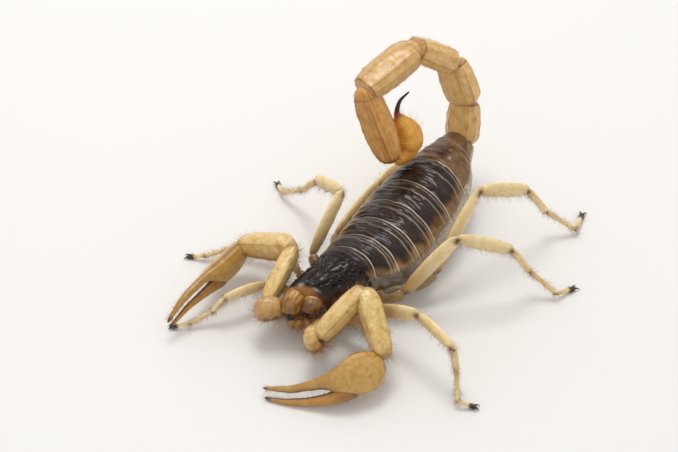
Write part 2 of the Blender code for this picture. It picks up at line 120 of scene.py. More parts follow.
# half depth, half breadth and fullness of each tail ring
TAIL_SIZES = ((2.6, 3.4, 0.90), (2.6, 3.7, 0.94), (2.4, 3.3, 1.06), (2.35, 3.1, 1.03), (2.3, 2.7, 1.03))
TELSON_POSE = ((-4.6, 37.3, 13.8), ((3.4, 90, 14), (2.6, 95, 66), (3.3, -142, 70), (2.0, -170, 44)))
ACULEUS_POSE = ((-6.5, 40.7, 21.6), ((1.7, -171, 88), (1.8, 66, 72), (2.5, 70, 30)))

# --- small arithmetic
def unit(vectors):
    """Vectors divided by their own lengths."""
    vectors = np.asarray(vectors, float)
    return vectors / np.maximum(np.linalg.norm(vectors, axis=-1, keepdims=True), 1e-12)


def joints_of(pose):
    """A limb's joints: its start plus the running sum of lengths along headings round +Z and rises."""
    start, segments = pose
    length, heading, rise = np.array(segments, float).T
    heading, rise = np.radians(heading), np.radians(rise)
    ways = np.stack([np.cos(heading) * np.cos(rise), np.sin(heading) * np.cos(rise), np.sin(rise)], -1)
    return np.vstack([start, start + np.cumsum(length[:, None] * ways, axis=0)])


def hump(x, centre, width):
    """A bell that is 1 at its centre: exp of minus the squared distance over the width."""
    return np.exp(-((x - centre) / width) ** 2)


def ramp(x, low, high):
    """0 before low, 1 after high, eased as 3t^2 - 2t^3 between."""
    t = np.clip((x - low) / (high - low), 0, 1)
    return t * t * (3 - 2 * t)


def fall(x, low, high):
    """1 before low, 0 after high."""
    return 1 - ramp(x, low, high)


def ridge(angle, centre, width):
    """A bell round an axis, centred on one angle."""
    return hump((angle - centre + math.pi) % TURN - math.pi, 0, width)


def quarter(x):
    """A quarter circle, 0 at 0 and 1 from 1 on: the root of 1 - (1 - x)^2."""
    return np.sqrt(1 - (1 - x).clip(0, 1) ** 2)


def eased(x, places, values):
    """A smooth curve through values at places: cubic Hermite pieces with centred slopes."""
    places, values = np.asarray(places, float), np.asarray(values, float)
    slopes = np.gradient(values, places, axis=0)
    index = np.clip(np.searchsorted(places, x) - 1, 0, len(places) - 2)
    span = places[index + 1] - places[index]
    t = np.clip((x - places[index]) / span, 0, 1)
    if values.ndim > 1:
        t, span = t[..., None], span[..., None]
    return ((1 + 2 * t) * (1 - t) ** 2 * values[index] + t * (1 - t) ** 2 * span * slopes[index]
            + t * t * (3 - 2 * t) * values[index + 1] - t * t * (1 - t) * span * slopes[index + 1])


def ripples(points, wavelength, seed, waves=20):
    """A smooth irregular field near -1 to 1: the sum of plane waves with seeded ways and phases."""
    rng = np.random.default_rng(seed)
    ways = unit(rng.normal(size=(waves, 3))) * TURN / wavelength
    phases = rng.uniform(0, TURN, waves)
    return sum(np.sin(points @ way + phase) for way, phase in zip(ways, phases)) / math.sqrt(0.5 * waves)


def grains(points, spacing, seed):
    """Small round grains: the tops of a ripple field, cut off below 0.9."""
    return np.clip(ripples(points, spacing, seed, 14) - 0.9, 0, 1.6)


# --- meshes
def grid_faces(rows, columns, closed):
    """Quads of a grid numbered row by row; closed joins its last column to its first."""
    row, column = np.mgrid[:rows - 1, :columns if closed else columns - 1]
    after = (column + 1) % columns
    near, far = row * columns, (row + 1) * columns
    return np.stack([near + column, near + after, far + after, far + column], -1).reshape(-1, 4)


def grid_normals(points, closed):
    """Unit normals of a grid: the cross product of its slopes across and along."""
    around = np.gradient(points, axis=1)
    if closed:
        around = np.roll(points, -1, axis=1) - np.roll(points, 1, axis=1)
    return unit(np.cross(around, np.gradient(points, axis=0)))


def lifted(points, height, closed=False):
    """A grid's points moved out along its normals by a height in millimetres."""
    return points + grid_normals(points, closed) * height[..., None]


def above_floor(points, height=0):
    """Points raised to a least height where they lie lower."""
    return np.concatenate([points[..., :2], np.maximum(points[..., 2:], height)], -1)


def put_mesh(name, points, quads, triangles, material, node, marks, unwrap=None):
    """A piece that rides on the animal, with one float attribute for each mark.

    A node is the part of the CAD model that the piece replaces. An unwrap gives each
    point its place on the OFBake map.
    """
    mesh = bpy.data.meshes.new(name)
    points = (points - POSE_MIDDLE) * MM
    corners = np.concatenate([quads.reshape(-1), triangles.reshape(-1)]).astype(np.int32)
    sizes = np.repeat([4, 3], [len(quads), len(triangles)])
    mesh.vertices.add(len(points))
    mesh.vertices.foreach_set("co", points.astype(np.float32).reshape(-1))
    mesh.loops.add(len(corners))
    mesh.loops.foreach_set("vertex_index", corners)
    mesh.polygons.add(len(sizes))
    mesh.polygons.foreach_set("loop_start", (np.cumsum(sizes) - sizes).astype(np.int32))
    mesh.update(calc_edges=True)
    mesh.validate()
    for mark, values in marks.items():
        attribute = mesh.attributes.new(mark, "FLOAT", "POINT")
        attribute.data.foreach_set("value", np.ascontiguousarray(values, dtype=np.float32))
    if unwrap is not None:
        layer = mesh.uv_layers.new(name="OFBake")
        layer.data.foreach_set("uv", unwrap[corners].astype(np.float32).reshape(-1))
    mesh.shade_smooth()
    mesh.materials.append(material)
    piece = bpy.data.objects.new(name, mesh)
    bpy.context.scene.collection.objects.link(piece)
    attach(piece, "root")
    if node:
        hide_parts(node)


def put_grid(name, grid, points, ends, quads, triangles, material, node, marks):
    """A grid with its added points, whose marks are worked out from the grid's by a rule."""
    marks = {mark: np.broadcast_to(values, grid.shape[:2]).reshape(-1) for mark, values in marks.items()}
    marks = {mark: np.concatenate([values, ends(values)]) for mark, values in marks.items()}
    put_mesh(name, np.vstack([grid.reshape(-1, 3), points]), quads, triangles, material, node, marks)


def closed_tube(name, rings, material, slot, node=None, **marks):
    """A closed piece through rings of points, each end drawn together at the middle of its last ring."""
    rows, columns = rings.shape[:2]
    first, base = rows * columns, (rows - 1) * columns
    column = np.arange(columns)
    after = (column + 1) % columns
    start_fan = np.stack([np.full(columns, first), after, column], -1)
    end_fan = np.stack([np.full(columns, first + 1), base + column, base + after], -1)
    put_grid(name, rings, rings[[0, -1]].mean(1), lambda values: values.reshape(rows, columns)[[0, -1]].mean(1),
             grid_faces(rows, columns, True), np.vstack([start_fan, end_fan]), material, node, marks)


def horn_tube(name, rings, material, slot, node=None, joint=0, shade=0, grain=0.4, keel=0, tip=0):
    """A closed piece of horn with the five marks that its material reads."""
    closed_tube(name, rings, material, slot, node, joint=joint, shade=shade, grain=grain, keel=keel, tip=tip)


def shell_plate(name, outer, thickness, material, slot, node=None, **marks):
    """A closed plate: a grid, the same grid sunk along its normals, and strips round the edge.

    The edge is rounded, because the thickness dies away over the outermost grid lines.
    """
    rows, columns = outer.shape[:2]
    row, column = np.arange(rows), np.arange(columns)
    from_edge = np.minimum.outer(np.minimum(row, row[::-1]), np.minimum(column, column[::-1]))
    depth = thickness * np.maximum(quarter(from_edge / 3), 0.1414)
    count = rows * columns
    faces = grid_faces(rows, columns, False)
    rim = np.concatenate([column, row[1:] * columns + columns - 1, (rows - 1) * columns + column[-2::-1],
                          row[-2:0:-1] * columns])
    after = np.roll(rim, -1)
    strip = np.stack([after, rim, rim + count, after + count], -1)
    put_grid(name, outer, lifted(outer, -depth).reshape(-1, 3), lambda values: values,
             np.vstack([faces, faces + count, strip]), np.zeros((0, 3), int), material, node, marks)


def rows_between(count, crowding=0.6):
    """Shares from 0 to 1 that crowd towards both ends: t - c sin(2 pi t) / 2 pi."""
    t = np.linspace(0, 1, count)
    return t - crowding * np.sin(TURN * t) / TURN


def end_rounding(u, first, last):
    """Scale that takes a tube's ends to points: a quarter circle over each end's share of the length."""
    return np.maximum(quarter(u / first) * quarter((1 - u) / last), 0.02)


class Limb:
    """One segment of a limb as a grid: rows run along it by the share u, columns round it by angle.

    A point is path(u) + a(u) f(angle) side + b(u) g(angle) tall, where f and g are the
    cosine and sine bent towards a rounded square by an exponent, and a and b are the half
    sizes, times a profile of shares and sizes, times the rounding of the ends. Tall leans
    towards the reference. The sections of an upright limb all stand square to the line
    from its first point to its last.
    """

    def __init__(self, path, half_side, half_tall, columns, rounding=(0.1, 0.1), squareness=1, profile=None,
                 reference=UP, upright=False):
        rows = len(path)
        self.u = rows_between(rows)[:, None]
        self.angle = (np.arange(columns) / columns * TURN)[None, :]
        self.along = unit(np.gradient(np.linspace(path[0], path[-1], rows) if upright else path, axis=0))
        tall = unit(reference - (reference * self.along).sum(-1, keepdims=True) * self.along)
        self.scale = end_rounding(self.u, *rounding)
        size = self.scale * (eased(self.u, *profile) if profile else 1)
        self.points = path[:, None, :]
        for half, share, way in ((half_side, np.cos(self.angle), np.cross(tall, self.along)),
                                 (half_tall, np.sin(self.angle), tall)):
            bent = np.sign(share) * np.abs(share) ** squareness
            self.points = self.points + (np.reshape(half, (-1, 1)) * size * bent)[..., None] * way[:, None, :]
        self.normals = grid_normals(self.points, True)

    def raised(self, height):
        """The grid's points moved out along their normals by a height, less so at the rounded ends."""
        return self.points + self.normals * (height * self.scale)[..., None]


def straight_path(start, end, rows, before=0, beyond=0, bow=0):
    """Points from start to end, run past them by the given lengths, bowed upwards by a half sine."""
    start, end = np.asarray(start, float), np.asarray(end, float)
    way = unit(end - start)
    start, end = start - before * way, end + beyond * way
    u = rows_between(rows)[:, None]
    return start + u * (end - start) + bow * np.sin(math.pi * u) * unit(UP - np.dot(UP, way) * way)


def bent_path(points, rows):
    """A smooth path through a few points, at shares that crowd towards its ends."""
    lengths = np.concatenate([[0], np.cumsum(np.linalg.norm(np.diff(points, axis=0), axis=1))])
    return eased(rows_between(rows) * lengths[-1], lengths, points)


# --- materials
class Nodes:
    """A short way to lay out nodes: each call adds one node and joins or fills its inputs."""

    def __init__(self, tree):
        self.tree = tree
        self.join = tree.links.new

    def add(self, kind, inputs=(), **settings):
        node = self.tree.nodes.new(kind)
        for setting, value in settings.items():
            setattr(node, setting, value)
        for socket, value in dict(inputs).items():
            if isinstance(value, bpy.types.NodeSocket):
                self.join(value, node.inputs[socket])
            else:
                node.inputs[socket].default_value = value
        return node

    def math(self, operation, first, second=0):
        return self.add("ShaderNodeMath", {0: first, 1: second}, operation=operation).outputs[0]

    def millimetres(self):
        """The place on the piece in millimetres."""
        metres = self.add("ShaderNodeTexCoord").outputs["Object"]
        return self.add("ShaderNodeVectorMath", {0: metres, 1: (1 / MM,) * 3}, operation="MULTIPLY").outputs[0]

    def noise(self, place, scale, detail=3, roughness=0.55, distortion=0):
        return self.add("ShaderNodeTexNoise", {"Vector": place, "Scale": scale, "Detail": detail,
                                               "Roughness": roughness, "Distortion": distortion}).outputs["Fac"]

    def window(self, value, low, high):
        """0 below low, 1 above high."""
        return self.add("ShaderNodeMapRange", {"Value": value, "From Min": low, "From Max": high}).outputs[0]

    def mix(self, share, first, second):
        return self.add("ShaderNodeMix", {0: share, 6: first, 7: second}, data_type="RGBA").outputs[2]

    def mask(self, masks, name, strength=1):
        """Marks of the mesh or outputs of a group, multiplied where the name has a *, times a strength."""
        value = strength
        for part in reversed(name.split("*")):
            source = masks if part in masks else self.add("ShaderNodeAttribute", attribute_name=part).outputs
            socket = source[part if part in masks else "Fac"]
            value = socket if value == 1 else self.math("MULTIPLY", socket, value)
        return value

    def shades(self, masks, shades):
        """One colour, two mixed by the blotches or patches of a group, or a ground with its layers."""
        if isinstance(shades[0], dict):
            return self.layered(masks, **shades[0])
        return self.mix(masks[1], rgb(shades[0]), rgb(shades[1])) if len(shades) > 1 else rgb(shades[0])

    def layered(self, masks, ground, layers):
        """A ground under layers, each laid on by a mask and its strength, with its own shades."""
        colour = self.shades(masks, ground)
        for name, strength, *shades in layers:
            colour = self.mix(self.mask(masks, name, strength), colour, self.shades(masks, shades))
        return colour


def rgb(shade):
    """A colour from its screen values, 0 to 255: ((v + 0.055) / 1.055)^2.4, or v / 12.92 when low."""
    shares = np.array(shade) / 255
    return (*np.where(shares < 0.04045, shares / 12.92, ((shares + 0.055) / 1.055) ** 2.4), 1)


def group_of(name, takes, gives):
    """A shader node group of numbers with named inputs and outputs, and its two end nodes."""
    tree = bpy.data.node_groups.new(name, "ShaderNodeTree")
    for label, value in takes.items():
        tree.interface.new_socket(label, in_out="INPUT", socket_type="NodeSocketFloat").default_value = value
    for label in gives:
        tree.interface.new_socket(label, in_out="OUTPUT", socket_type="NodeSocketFloat")
    return tree, Nodes(tree), tree.nodes.new("NodeGroupInput").outputs, tree.nodes.new("NodeGroupOutput").inputs


def build_cuticle_group():
    """Horny cuticle in millimetres: pores, pebbles and slow waves as a height, and a blotch mask."""
    tree, n, given, out = group_of("cuticle", {"Pebbles": 1, "Pores": 0.5, "Waves": 0.5, "Size": 2.6},
                                   ("Height", "Blotches", "Fine", "Dots"))
    place = n.millimetres()
    cells = n.add("ShaderNodeTexVoronoi", {"Vector": place, "Scale": given["Size"]}).outputs["Distance"]
    pebbles = n.math("MULTIPLY", n.window(cells, 0.55, 0.1), given["Pebbles"])
    pores = n.math("MULTIPLY", n.noise(place, 7, 4, 0.6), given["Pores"])
    waves = n.math("MULTIPLY", n.noise(place, 0.7, 3, 0.5, 0.6), given["Waves"])
    n.join(n.math("ADD", n.math("ADD", pebbles, pores), waves), out["Height"])
    n.join(n.window(n.noise(place, 0.55, 4, 0.6, 0.8), 0.35, 0.68), out["Blotches"])
    n.join(n.window(n.noise(place, 3.2, 5, 0.65), 0.35, 0.7), out["Fine"])
    n.join(n.window(cells, 0.34, 0.12), out["Dots"])
    return tree


def build_skin_group():
    """Soft skin in millimetres: fine creases as a height, and a mask of paler stretched patches."""
    tree, n, given, out = group_of("creased skin", {"Creases": 1, "Size": 2}, ("Height", "Patches"))
    place = n.millimetres()
    folded = n.noise(place, given["Size"], 5, 0.6, 1.2)
    ridged = n.math("ABSOLUTE", n.math("SUBTRACT", folded, 0.5))
    n.join(n.math("MULTIPLY", n.window(ridged, 0.14, 0), given["Creases"]), out["Height"])
    n.join(n.window(n.noise(place, 0.8, 3, 0.6, 1.5), 0.42, 0.62), out["Patches"])
    return tree


CUTICLE = build_cuticle_group()
CREASED_SKIN = build_skin_group()


def new_material(name, roughness, coat=0, coat_roughness=0.1, through=0, reach=(1, 0.6, 0.35),
                 depth=0.0008, gloss=0.5):
    """A Principled material with its constant values set on the shader's own sockets."""
    material = bpy.data.materials.new(name)
    material.use_nodes = True
    shader = material.node_tree.nodes["Principled BSDF"].inputs
    for socket, value in (("Roughness", roughness), ("Coat Weight", coat), ("Coat Roughness", coat_roughness),
                          ("Subsurface Weight", through), ("Subsurface Radius", reach),
                          ("Subsurface Scale", depth), ("Specular IOR Level", gloss)):
        shader[socket].default_value = value
    return material, Nodes(material.node_tree), shader


def layered_material(name, given, ground, layers, bump, least, *values, group=CUTICLE, **more):
    """A material of shades in layers, with the height of a group as a bump.

    Given fills the group's inputs; a mark with its strength may stand for a number. The
    roughness is the least and a fifth of the fine mask. The values are new_material's.
    """
    material, n, shader = new_material(name, *values, **more)
    filled = {socket: n.mask((), *value) if isinstance(value, tuple) else value
              for socket, value in given.items()}
    masks = n.add("ShaderNodeGroup", filled, node_tree=group).outputs
    n.join(n.layered(masks, ground, layers), shader["Base Color"])
    relief = n.add("ShaderNodeBump", {"Height": masks["Height"], "Strength": bump, "Distance": 0.1 * MM})
    n.join(relief.outputs[0], shader["Normal"])
    if least:
        n.join(n.math("ADD", n.mask(masks, "Fine", 0.2), least), shader["Roughness"])
    return material


def horn_material(name, pale, deep, brown, joint, through, roughness=0.42, pebbles=0.8):
    """Straw or amber horn: mottled between two shades, browner on keels and joints and where the shade mark
    lies, darkest at tips; the shade mark holds real browning and painted shade.
    """
    return layered_material(
        name, {"Pebbles": ("grain", pebbles), "Pores": 0.5, "Waves": 0.25}, (pale, deep),
        (("Fine", 0.15, brown), ("keel", 0.8, brown), ("shade", 1, brown), ("Dots*grain", 0.28, joint),
         ("joint", 1, joint), ("tip", 1, (16, 10, 8))), 0.3, roughness - 0.12, roughness, 0.3, 0.14, through)


def dark_horn_material(name, deep, warm, roughness=0.22, coat=0.4):
    """Black horn with a warm brown cast where its dark mark fades."""
    return layered_material(name, {"Pebbles": 0, "Pores": 0.3, "Waves": 0.4}, (warm,),
                            (("dark", 1, deep, (34, 22, 18)),), 0.2, None, roughness, coat, 0.08)


# black-brown glossy plates: amber at their ends, clear at the sides, pale along the rims, and the rims painted
# brighter towards the near side as a painted highlight
DARK_SHELL = layered_material(
    "dark shell", {"Pebbles": ("grain", 1.2), "Pores": 0.35, "Waves": 1.4}, ((13, 7, 4), (54, 35, 25)),
    (("amber", 1, (80, 48, 20), (120, 82, 42)), ("clear", 1, (112, 88, 58), (148, 124, 88)),
     ("rim", 0.8, (206, 190, 164))), 0.55, 0.33, 0.3, 0.4, 0.09, gloss=0.14)
# the carapace: black-brown, orange brown in front of the eyes, red brown down the near side, and two pale
# patches beside the eyes that are painted highlights
ORANGE_FRONT = {"ground": ((136, 84, 36), (168, 120, 60)),
                "layers": (("Fine", 0.4, (110, 62, 26)), ("flank", 1, (98, 52, 26)))}
CARAPACE_SHELL = layered_material(
    "carapace shell", {"Pebbles": ("grain", 3), "Pores": 0.8, "Waves": 0.3, "Size": 4.2},
    ((13, 7, 4), (38, 23, 15)),
    (("flank", 1, (58, 30, 20), (84, 50, 30)), ("crescent", 1, ORANGE_FRONT),
     ("polished", 0.75, (176, 156, 146)), ("rim", 1, (40, 28, 22))),
    0.9, 0.18, 0.3, 0.5, 0.1, 0.1, (1, 0.4, 0.15), 0.0004, 0.02)
# two mottled shades, the brown of keels and of the shade mark (partly painted shade), the shade of joints,
# light let through, roughness and pebbles
HORNS = {name: horn_material(name, *row) for name, row in {
    "tail shell": ((230, 196, 132), (208, 164, 92), (160, 102, 40), (112, 54, 18), 0.3),
    "last tail ring": ((220, 164, 84), (196, 134, 52), (122, 68, 22), (96, 46, 16), 0.3),
    "palp shell": ((234, 208, 144), (214, 178, 100), (162, 104, 34), (84, 42, 18), 0.3, 0.38, 1),
    "palm shell": ((216, 178, 100), (186, 142, 64), (128, 74, 20), (70, 34, 18), 0.3, 0.38, 0.6),
    "finger shell": ((210, 156, 70), (188, 130, 48), (116, 64, 20), (62, 28, 18), 0.25),
    "leg shell": ((242, 224, 178), (228, 202, 142), (172, 130, 66), (84, 46, 22), 0.45, 0.4, 0.3),
    "leg root shell": ((160, 134, 82), (118, 92, 48), (78, 54, 26), (70, 40, 22), 0.2, 0.36, 0.4),
    "jaw shell": ((200, 150, 70), (156, 104, 36), (96, 54, 18), (44, 22, 12), 0.2, 0.42, 0.5),
    "belly plate": ((170, 140, 96), (140, 106, 64), (92, 62, 34), (40, 24, 16), 0.1),
}.items()}
# soft flank skin: grey beige with a mauve cast, paler where stretched, brown low down
SOFT_SKIN = layered_material(
    "soft skin", {"Creases": 1, "Size": 1.6}, ((148, 130, 108), (190, 174, 150)),
    (("pale", 0.8, (206, 194, 172)), ("low", 1, (112, 88, 56)), ("mauve", 1, (98, 82, 78))),
    0.25, None, 0.34, 0.4, 0.15, 0.35, (1, 0.7, 0.5), group=CREASED_SKIN)
BLACK_HORN = dark_horn_material("black horn", (14, 10, 9), (168, 66, 20))
JAW_HORN = dark_horn_material("jaw horn", (52, 26, 12), (130, 78, 34), 0.6, 0)
CLAW_HORN = dark_horn_material("claw horn", (22, 17, 15), (60, 44, 36), 0.35)
EYE_LENS = dark_horn_material("eye lens", (8, 7, 8), (40, 30, 24), 0.05)
# the sting's bulb: amber, with fine darker stripes across and an orange glow at its base
STING_BULB = layered_material(
    "sting bulb", {"Pebbles": 0.15, "Pores": 0.4, "Waves": 0.8}, ((228, 152, 40), (240, 184, 78)),
    (("stripe", 0.55, (150, 92, 26)), ("dark", 1, (140, 58, 20))),
    0.3, None, 0.3, 0.4, 0.12, 0.2, (1, 0.45, 0.12), 0.0012)
# horn bristles: straw brown, black where the foot is black
BRISTLE = layered_material(
    "bristle", {"Pebbles": 0, "Pores": 0.2, "Waves": 0.2}, ((196, 150, 104), (160, 108, 70)),
    (("dark", 1, (20, 14, 11)),), 0.1, None, 0.4, through=0.2)


# --- bristles
COATS = {}
# how much leans differ in degrees, how far ways stray, how deep roots are sunk in millimetres
LEAN_SPREAD, STRAY, ROOT_DEPTH = 12, 0.16, 0.05
# the map has this many cells a side, one for each segment, and a bristle's patch is this size
MAP_CELLS, PATCH = 6, 0.003
# a bristle's four rings of three points and its tip stand at these shares of its length
BRISTLE_SHARES = np.array([0, 0.33, 0.62, 0.85, 1])[None, :, None]
BRISTLE_POINTS = 13


def grow_bristles(coat, limb, surface, count, seed, length, lean=45, dark=0, thick=0.022,
                  around=(0, 360), shares=(0.06, 0.94)):
    """Note bristles on a segment for one coat: roots, ways, lengths, thicknesses and map places.

    A root lies between two points of the segment's grid at a seeded row and column. Its way
    leans by an angle from the skin's outward direction towards the segment's far end.
    """
    rng = np.random.default_rng(seed)
    rows, columns = surface.shape[:2]
    row = (rows * rng.uniform(*shares, count)).astype(int).clip(1, rows - 2)
    column = (columns * rng.uniform(*around, count) / 360).astype(int) % columns
    part = rng.uniform(0, 1, (count, 1))
    root = surface[row, column] * (1 - part) + surface[row + 1, column] * part
    tilt = np.radians(lean + rng.normal(0, LEAN_SPREAD, count))[:, None]
    out, along = limb.normals[row, column], limb.along[row]
    way = unit(np.cos(tilt) * out + np.sin(tilt) * along + STRAY * rng.normal(size=(count, 3)))
    patches = COATS.setdefault(coat, [])
    cell = np.array(divmod(len(patches), MAP_CELLS), float)
    place = (cell + 0.04 + 0.92 * np.stack([(row + part[:, 0]) / rows, column / columns], -1)) / MAP_CELLS
    size = rng.uniform(*length, (count, 1))
    patches.append((root - ROOT_DEPTH * out, way, along, size, np.full((count, 1), thick),
                    np.full(count, dark), place))


def build_coats():
    """Each coat's bristles as one mesh: tapered three-sided tubes along bent lines.

    A ring stands at root + length (t way + 0.25 t^2 along - 0.12 t^2 up) with the radius
    thick (1 - 0.85 t), for four values of t; a last point closes the tip. A bristle's
    patch on the OFBake map lies at its root's place on the segments' unwrap.
    """
    t = BRISTLE_SHARES
    turn = (np.arange(3) / 3 * TURN)[None, None, :, None]
    sides = grid_faces(4, 3, True)
    caps = np.array([[9, 10, 12], [10, 11, 12], [11, 9, 12], [0, 2, 1]])
    across = np.append(np.tile([-0.5, 0, 0.5], 4), 0)
    down = np.append(np.repeat(t[0, :4, 0], 3), 1) - 0.5
    for coat, patches in COATS.items():
        root, way, along, size, thick, dark, place = (np.concatenate(parts) for parts in zip(*patches))
        bend = 0.25 * along - 0.12 * UP
        centre = root[:, None] + size[:, None] * (t * way[:, None] + t * t * bend[:, None])
        side = unit(np.cross(way, along + (0.3, 0.1, 0.2)))
        around = np.cos(turn) * side[:, None, None] + np.sin(turn) * np.cross(way, side)[:, None, None]
        tube = centre[:, :4, None] + (thick[:, None] * (1 - 0.85 * t))[:, :4, None] * around
        points = above_floor(np.concatenate([tube.reshape(-1, 12, 3), centre[:, 4:]], axis=1), 0.01)
        first = np.arange(len(root))[:, None, None] * BRISTLE_POINTS
        unwrap = place[:, None] + PATCH * np.stack([across, down], -1)[None]
        marks = {"dark": np.repeat(dark, BRISTLE_POINTS)}
        put_mesh(f"bristles_{coat}", points.reshape(-1, 3), (first + sides).reshape(-1, 4),
                 (first + caps).reshape(-1, 3), BRISTLE, None, marks, unwrap.reshape(-1, 2))


# --- trunk
def trunk_at(back):
    """Aside, height, half width and half height of the trunk, eased between the rows of TRUNK."""
    return np.moveaxis(eased(np.clip(back, 0, TRUNK_END), TRUNK[:, 0], TRUNK[:, 1:]), -1, 0)


def trunk_surface(back, angle, inset=0, sweep=0):
    """Points on the trunk; the angle in degrees from the top towards the animal's left.

    The section is an ellipse with the trunk's half width and height less the inset, and
    the sweep brings the flanks forward by sweep sin^2(angle).
    """
    turn = np.radians(angle)
    back, turn = np.broadcast_arrays(back - sweep * np.sin(turn) ** 2, turn)
    aside, height, half_width, half_height = trunk_at(back)
    return np.stack([aside + (half_width - inset) * np.sin(turn), back,
                     height + (half_height - inset) * np.cos(turn)], -1)


def spread_grid(low, high, rows, columns):
    """Shares down the rows as a column, and angles from low to high across."""
    return np.linspace(0, 1, rows)[:, None], np.linspace(low, high, columns)[None, :]


def bag_grid(rows, columns):
    """Shares down the rows as a column, and a full turn of angles across from -180 degrees."""
    return np.linspace(0, 1, rows)[:, None], (np.arange(columns) / columns * 360 - 180)[None, :]


def build_carapace():
    """The carapace: a dome over the front of the trunk, its front edge rolled down.

    Relief: the ocular tubercle as a bell, the median furrow as a narrow bell along the
    middle, the crests beside it, two furrows that part towards the rear corners, and
    grains that grow towards the rear and the sides.
    """
    share, angle = spread_grid(-88, 88, 170, 210)
    slant = (np.sin(np.radians(angle)) + 0.35) * (1 - share) ** 3
    back = CARAPACE_FRONT - 0.2 + (CARAPACE_REAR + 0.1 - CARAPACE_FRONT) * share + slant
    points = trunk_surface(back, angle, 1.5 * (1 - quarter(share / 0.15)))
    reach = back - slant - CARAPACE_FRONT
    across = np.radians(angle) * ARC
    apart = np.abs(across)
    tubercle = hump(reach, 1.9, 1) * hump(across, 0, 0.85)
    furrow = hump(across, 0, 0.16) * ramp(reach, -0.2, 0.6) * (0.5 + 0.5 * ramp(reach, 2.8, 3.4))
    crests = hump(apart, 0.75 + 0.22 * (reach - 1.5).clip(0), 0.22)
    crests = crests * ramp(reach, 1.2, 2.2) * fall(reach, 4.2, 6.6)
    side_crests = hump(apart, 2.3 + 0.05 * reach, 0.4) * ramp(reach, 2.2, 3.6) * fall(reach, 6.5, 8.5)
    parting = hump(apart, 0.2 + 0.8 * (reach - 5.4).clip(0), 0.32) * ramp(reach, 5.2, 6)
    front_dips = hump(reach, 1.6, 0.55) * hump(apart, 1.5, 0.6)
    side_dip = hump(apart, 3.3, 0.7) * hump(reach, 4.6, 1.8)
    rear_groove = hump(reach, 9.7, 0.2) * fall(apart, 4.2, 5.2)
    rear_pinch = hump(across, 0, 0.5) * ramp(reach, 5.5, 7)
    grain = ramp(reach, 1.6, 3.4) * (0.45 + 0.55 * ramp(reach, 4, 7.5)) + 0.5 * ramp(across, 2.4, 4)
    grain = grain * ramp(reach, 1.4, 3)
    height = (0.5 * tubercle - 0.16 * furrow + 0.26 * crests + 0.1 * side_crests - 0.2 * parting
              - 0.12 * front_dips - 0.25 * side_dip - 0.12 * rear_groove - 0.08 * rear_pinch
              + 0.12 * grain * (grains(points, 0.95, 3) + grains(points, 0.5, 4))
              + 0.02 * ripples(points, 2.3, 5) - 0.04)
    points = lifted(points, height)
    brink = 0.95 - 0.75 * ramp(across, 0.2, 3.6) + 0.1 * ripples(points, 3.2, 6)
    shell_plate("carapace_shell", points, 0.35, CARAPACE_SHELL, "dark_shell", "carapace", grain=grain,
                crescent=1 - ramp(reach, brink - 0.15, brink + 0.3),
                # two pale patches either side of the eye tubercle: painted highlights, glints of the lamp
                # painted into the colour
                polished=(hump(reach, 1.35, 0.42) * hump(across, -1.45, 0.55)
                          + hump(reach, 1.25, 0.32) * hump(across, 1.35, 0.75)),
                flank=np.maximum(ramp(across, 3.2, 5) * (1 - 0.5 * ramp(reach, 4, 8)),
                                 0.8 * ramp(across, 1.2, 2.8) * fall(reach, 0.9, 1.6)),
                rim=np.maximum(ramp(np.abs(angle), 83, 86), 0.6 * ramp(reach, 10.25, 10.4)))
    for side, sign in (("left", 1), ("right", -1)):
        dome(f"eye_{side}_lens", trunk_surface(3.9, sign * 7) + 0.36 * UP, (sign * 0.75, -0.15, 0.6), 0.4,
             18, 32, f"eye_{side}")
        for order, place in enumerate((2.25, 2.6, 2.95)):
            dome(f"side_eye_{side}_{order}", trunk_surface(place, sign * 68, 0.35), (sign, -0.5, 0.4), 0.16,
                 10, 18)


def dome(name, centre, out, radius, rows, columns, node=None):
    """A closed eye: rings of radius sin(t) stacked by cos(t) along its outward way."""
    t = np.linspace(0.06, math.pi - 0.06, rows)[:, None, None]
    turn = (np.arange(columns) / columns * TURN)[None, :, None]
    out = unit(out)
    side = unit(np.cross(out, UP + 0.01))
    around = np.cos(turn) * side + np.sin(turn) * np.cross(out, side)
    closed_tube(name, centre + radius * (np.sin(t) * around - np.cos(t) * out), EYE_LENS, "eye", node, dark=1)


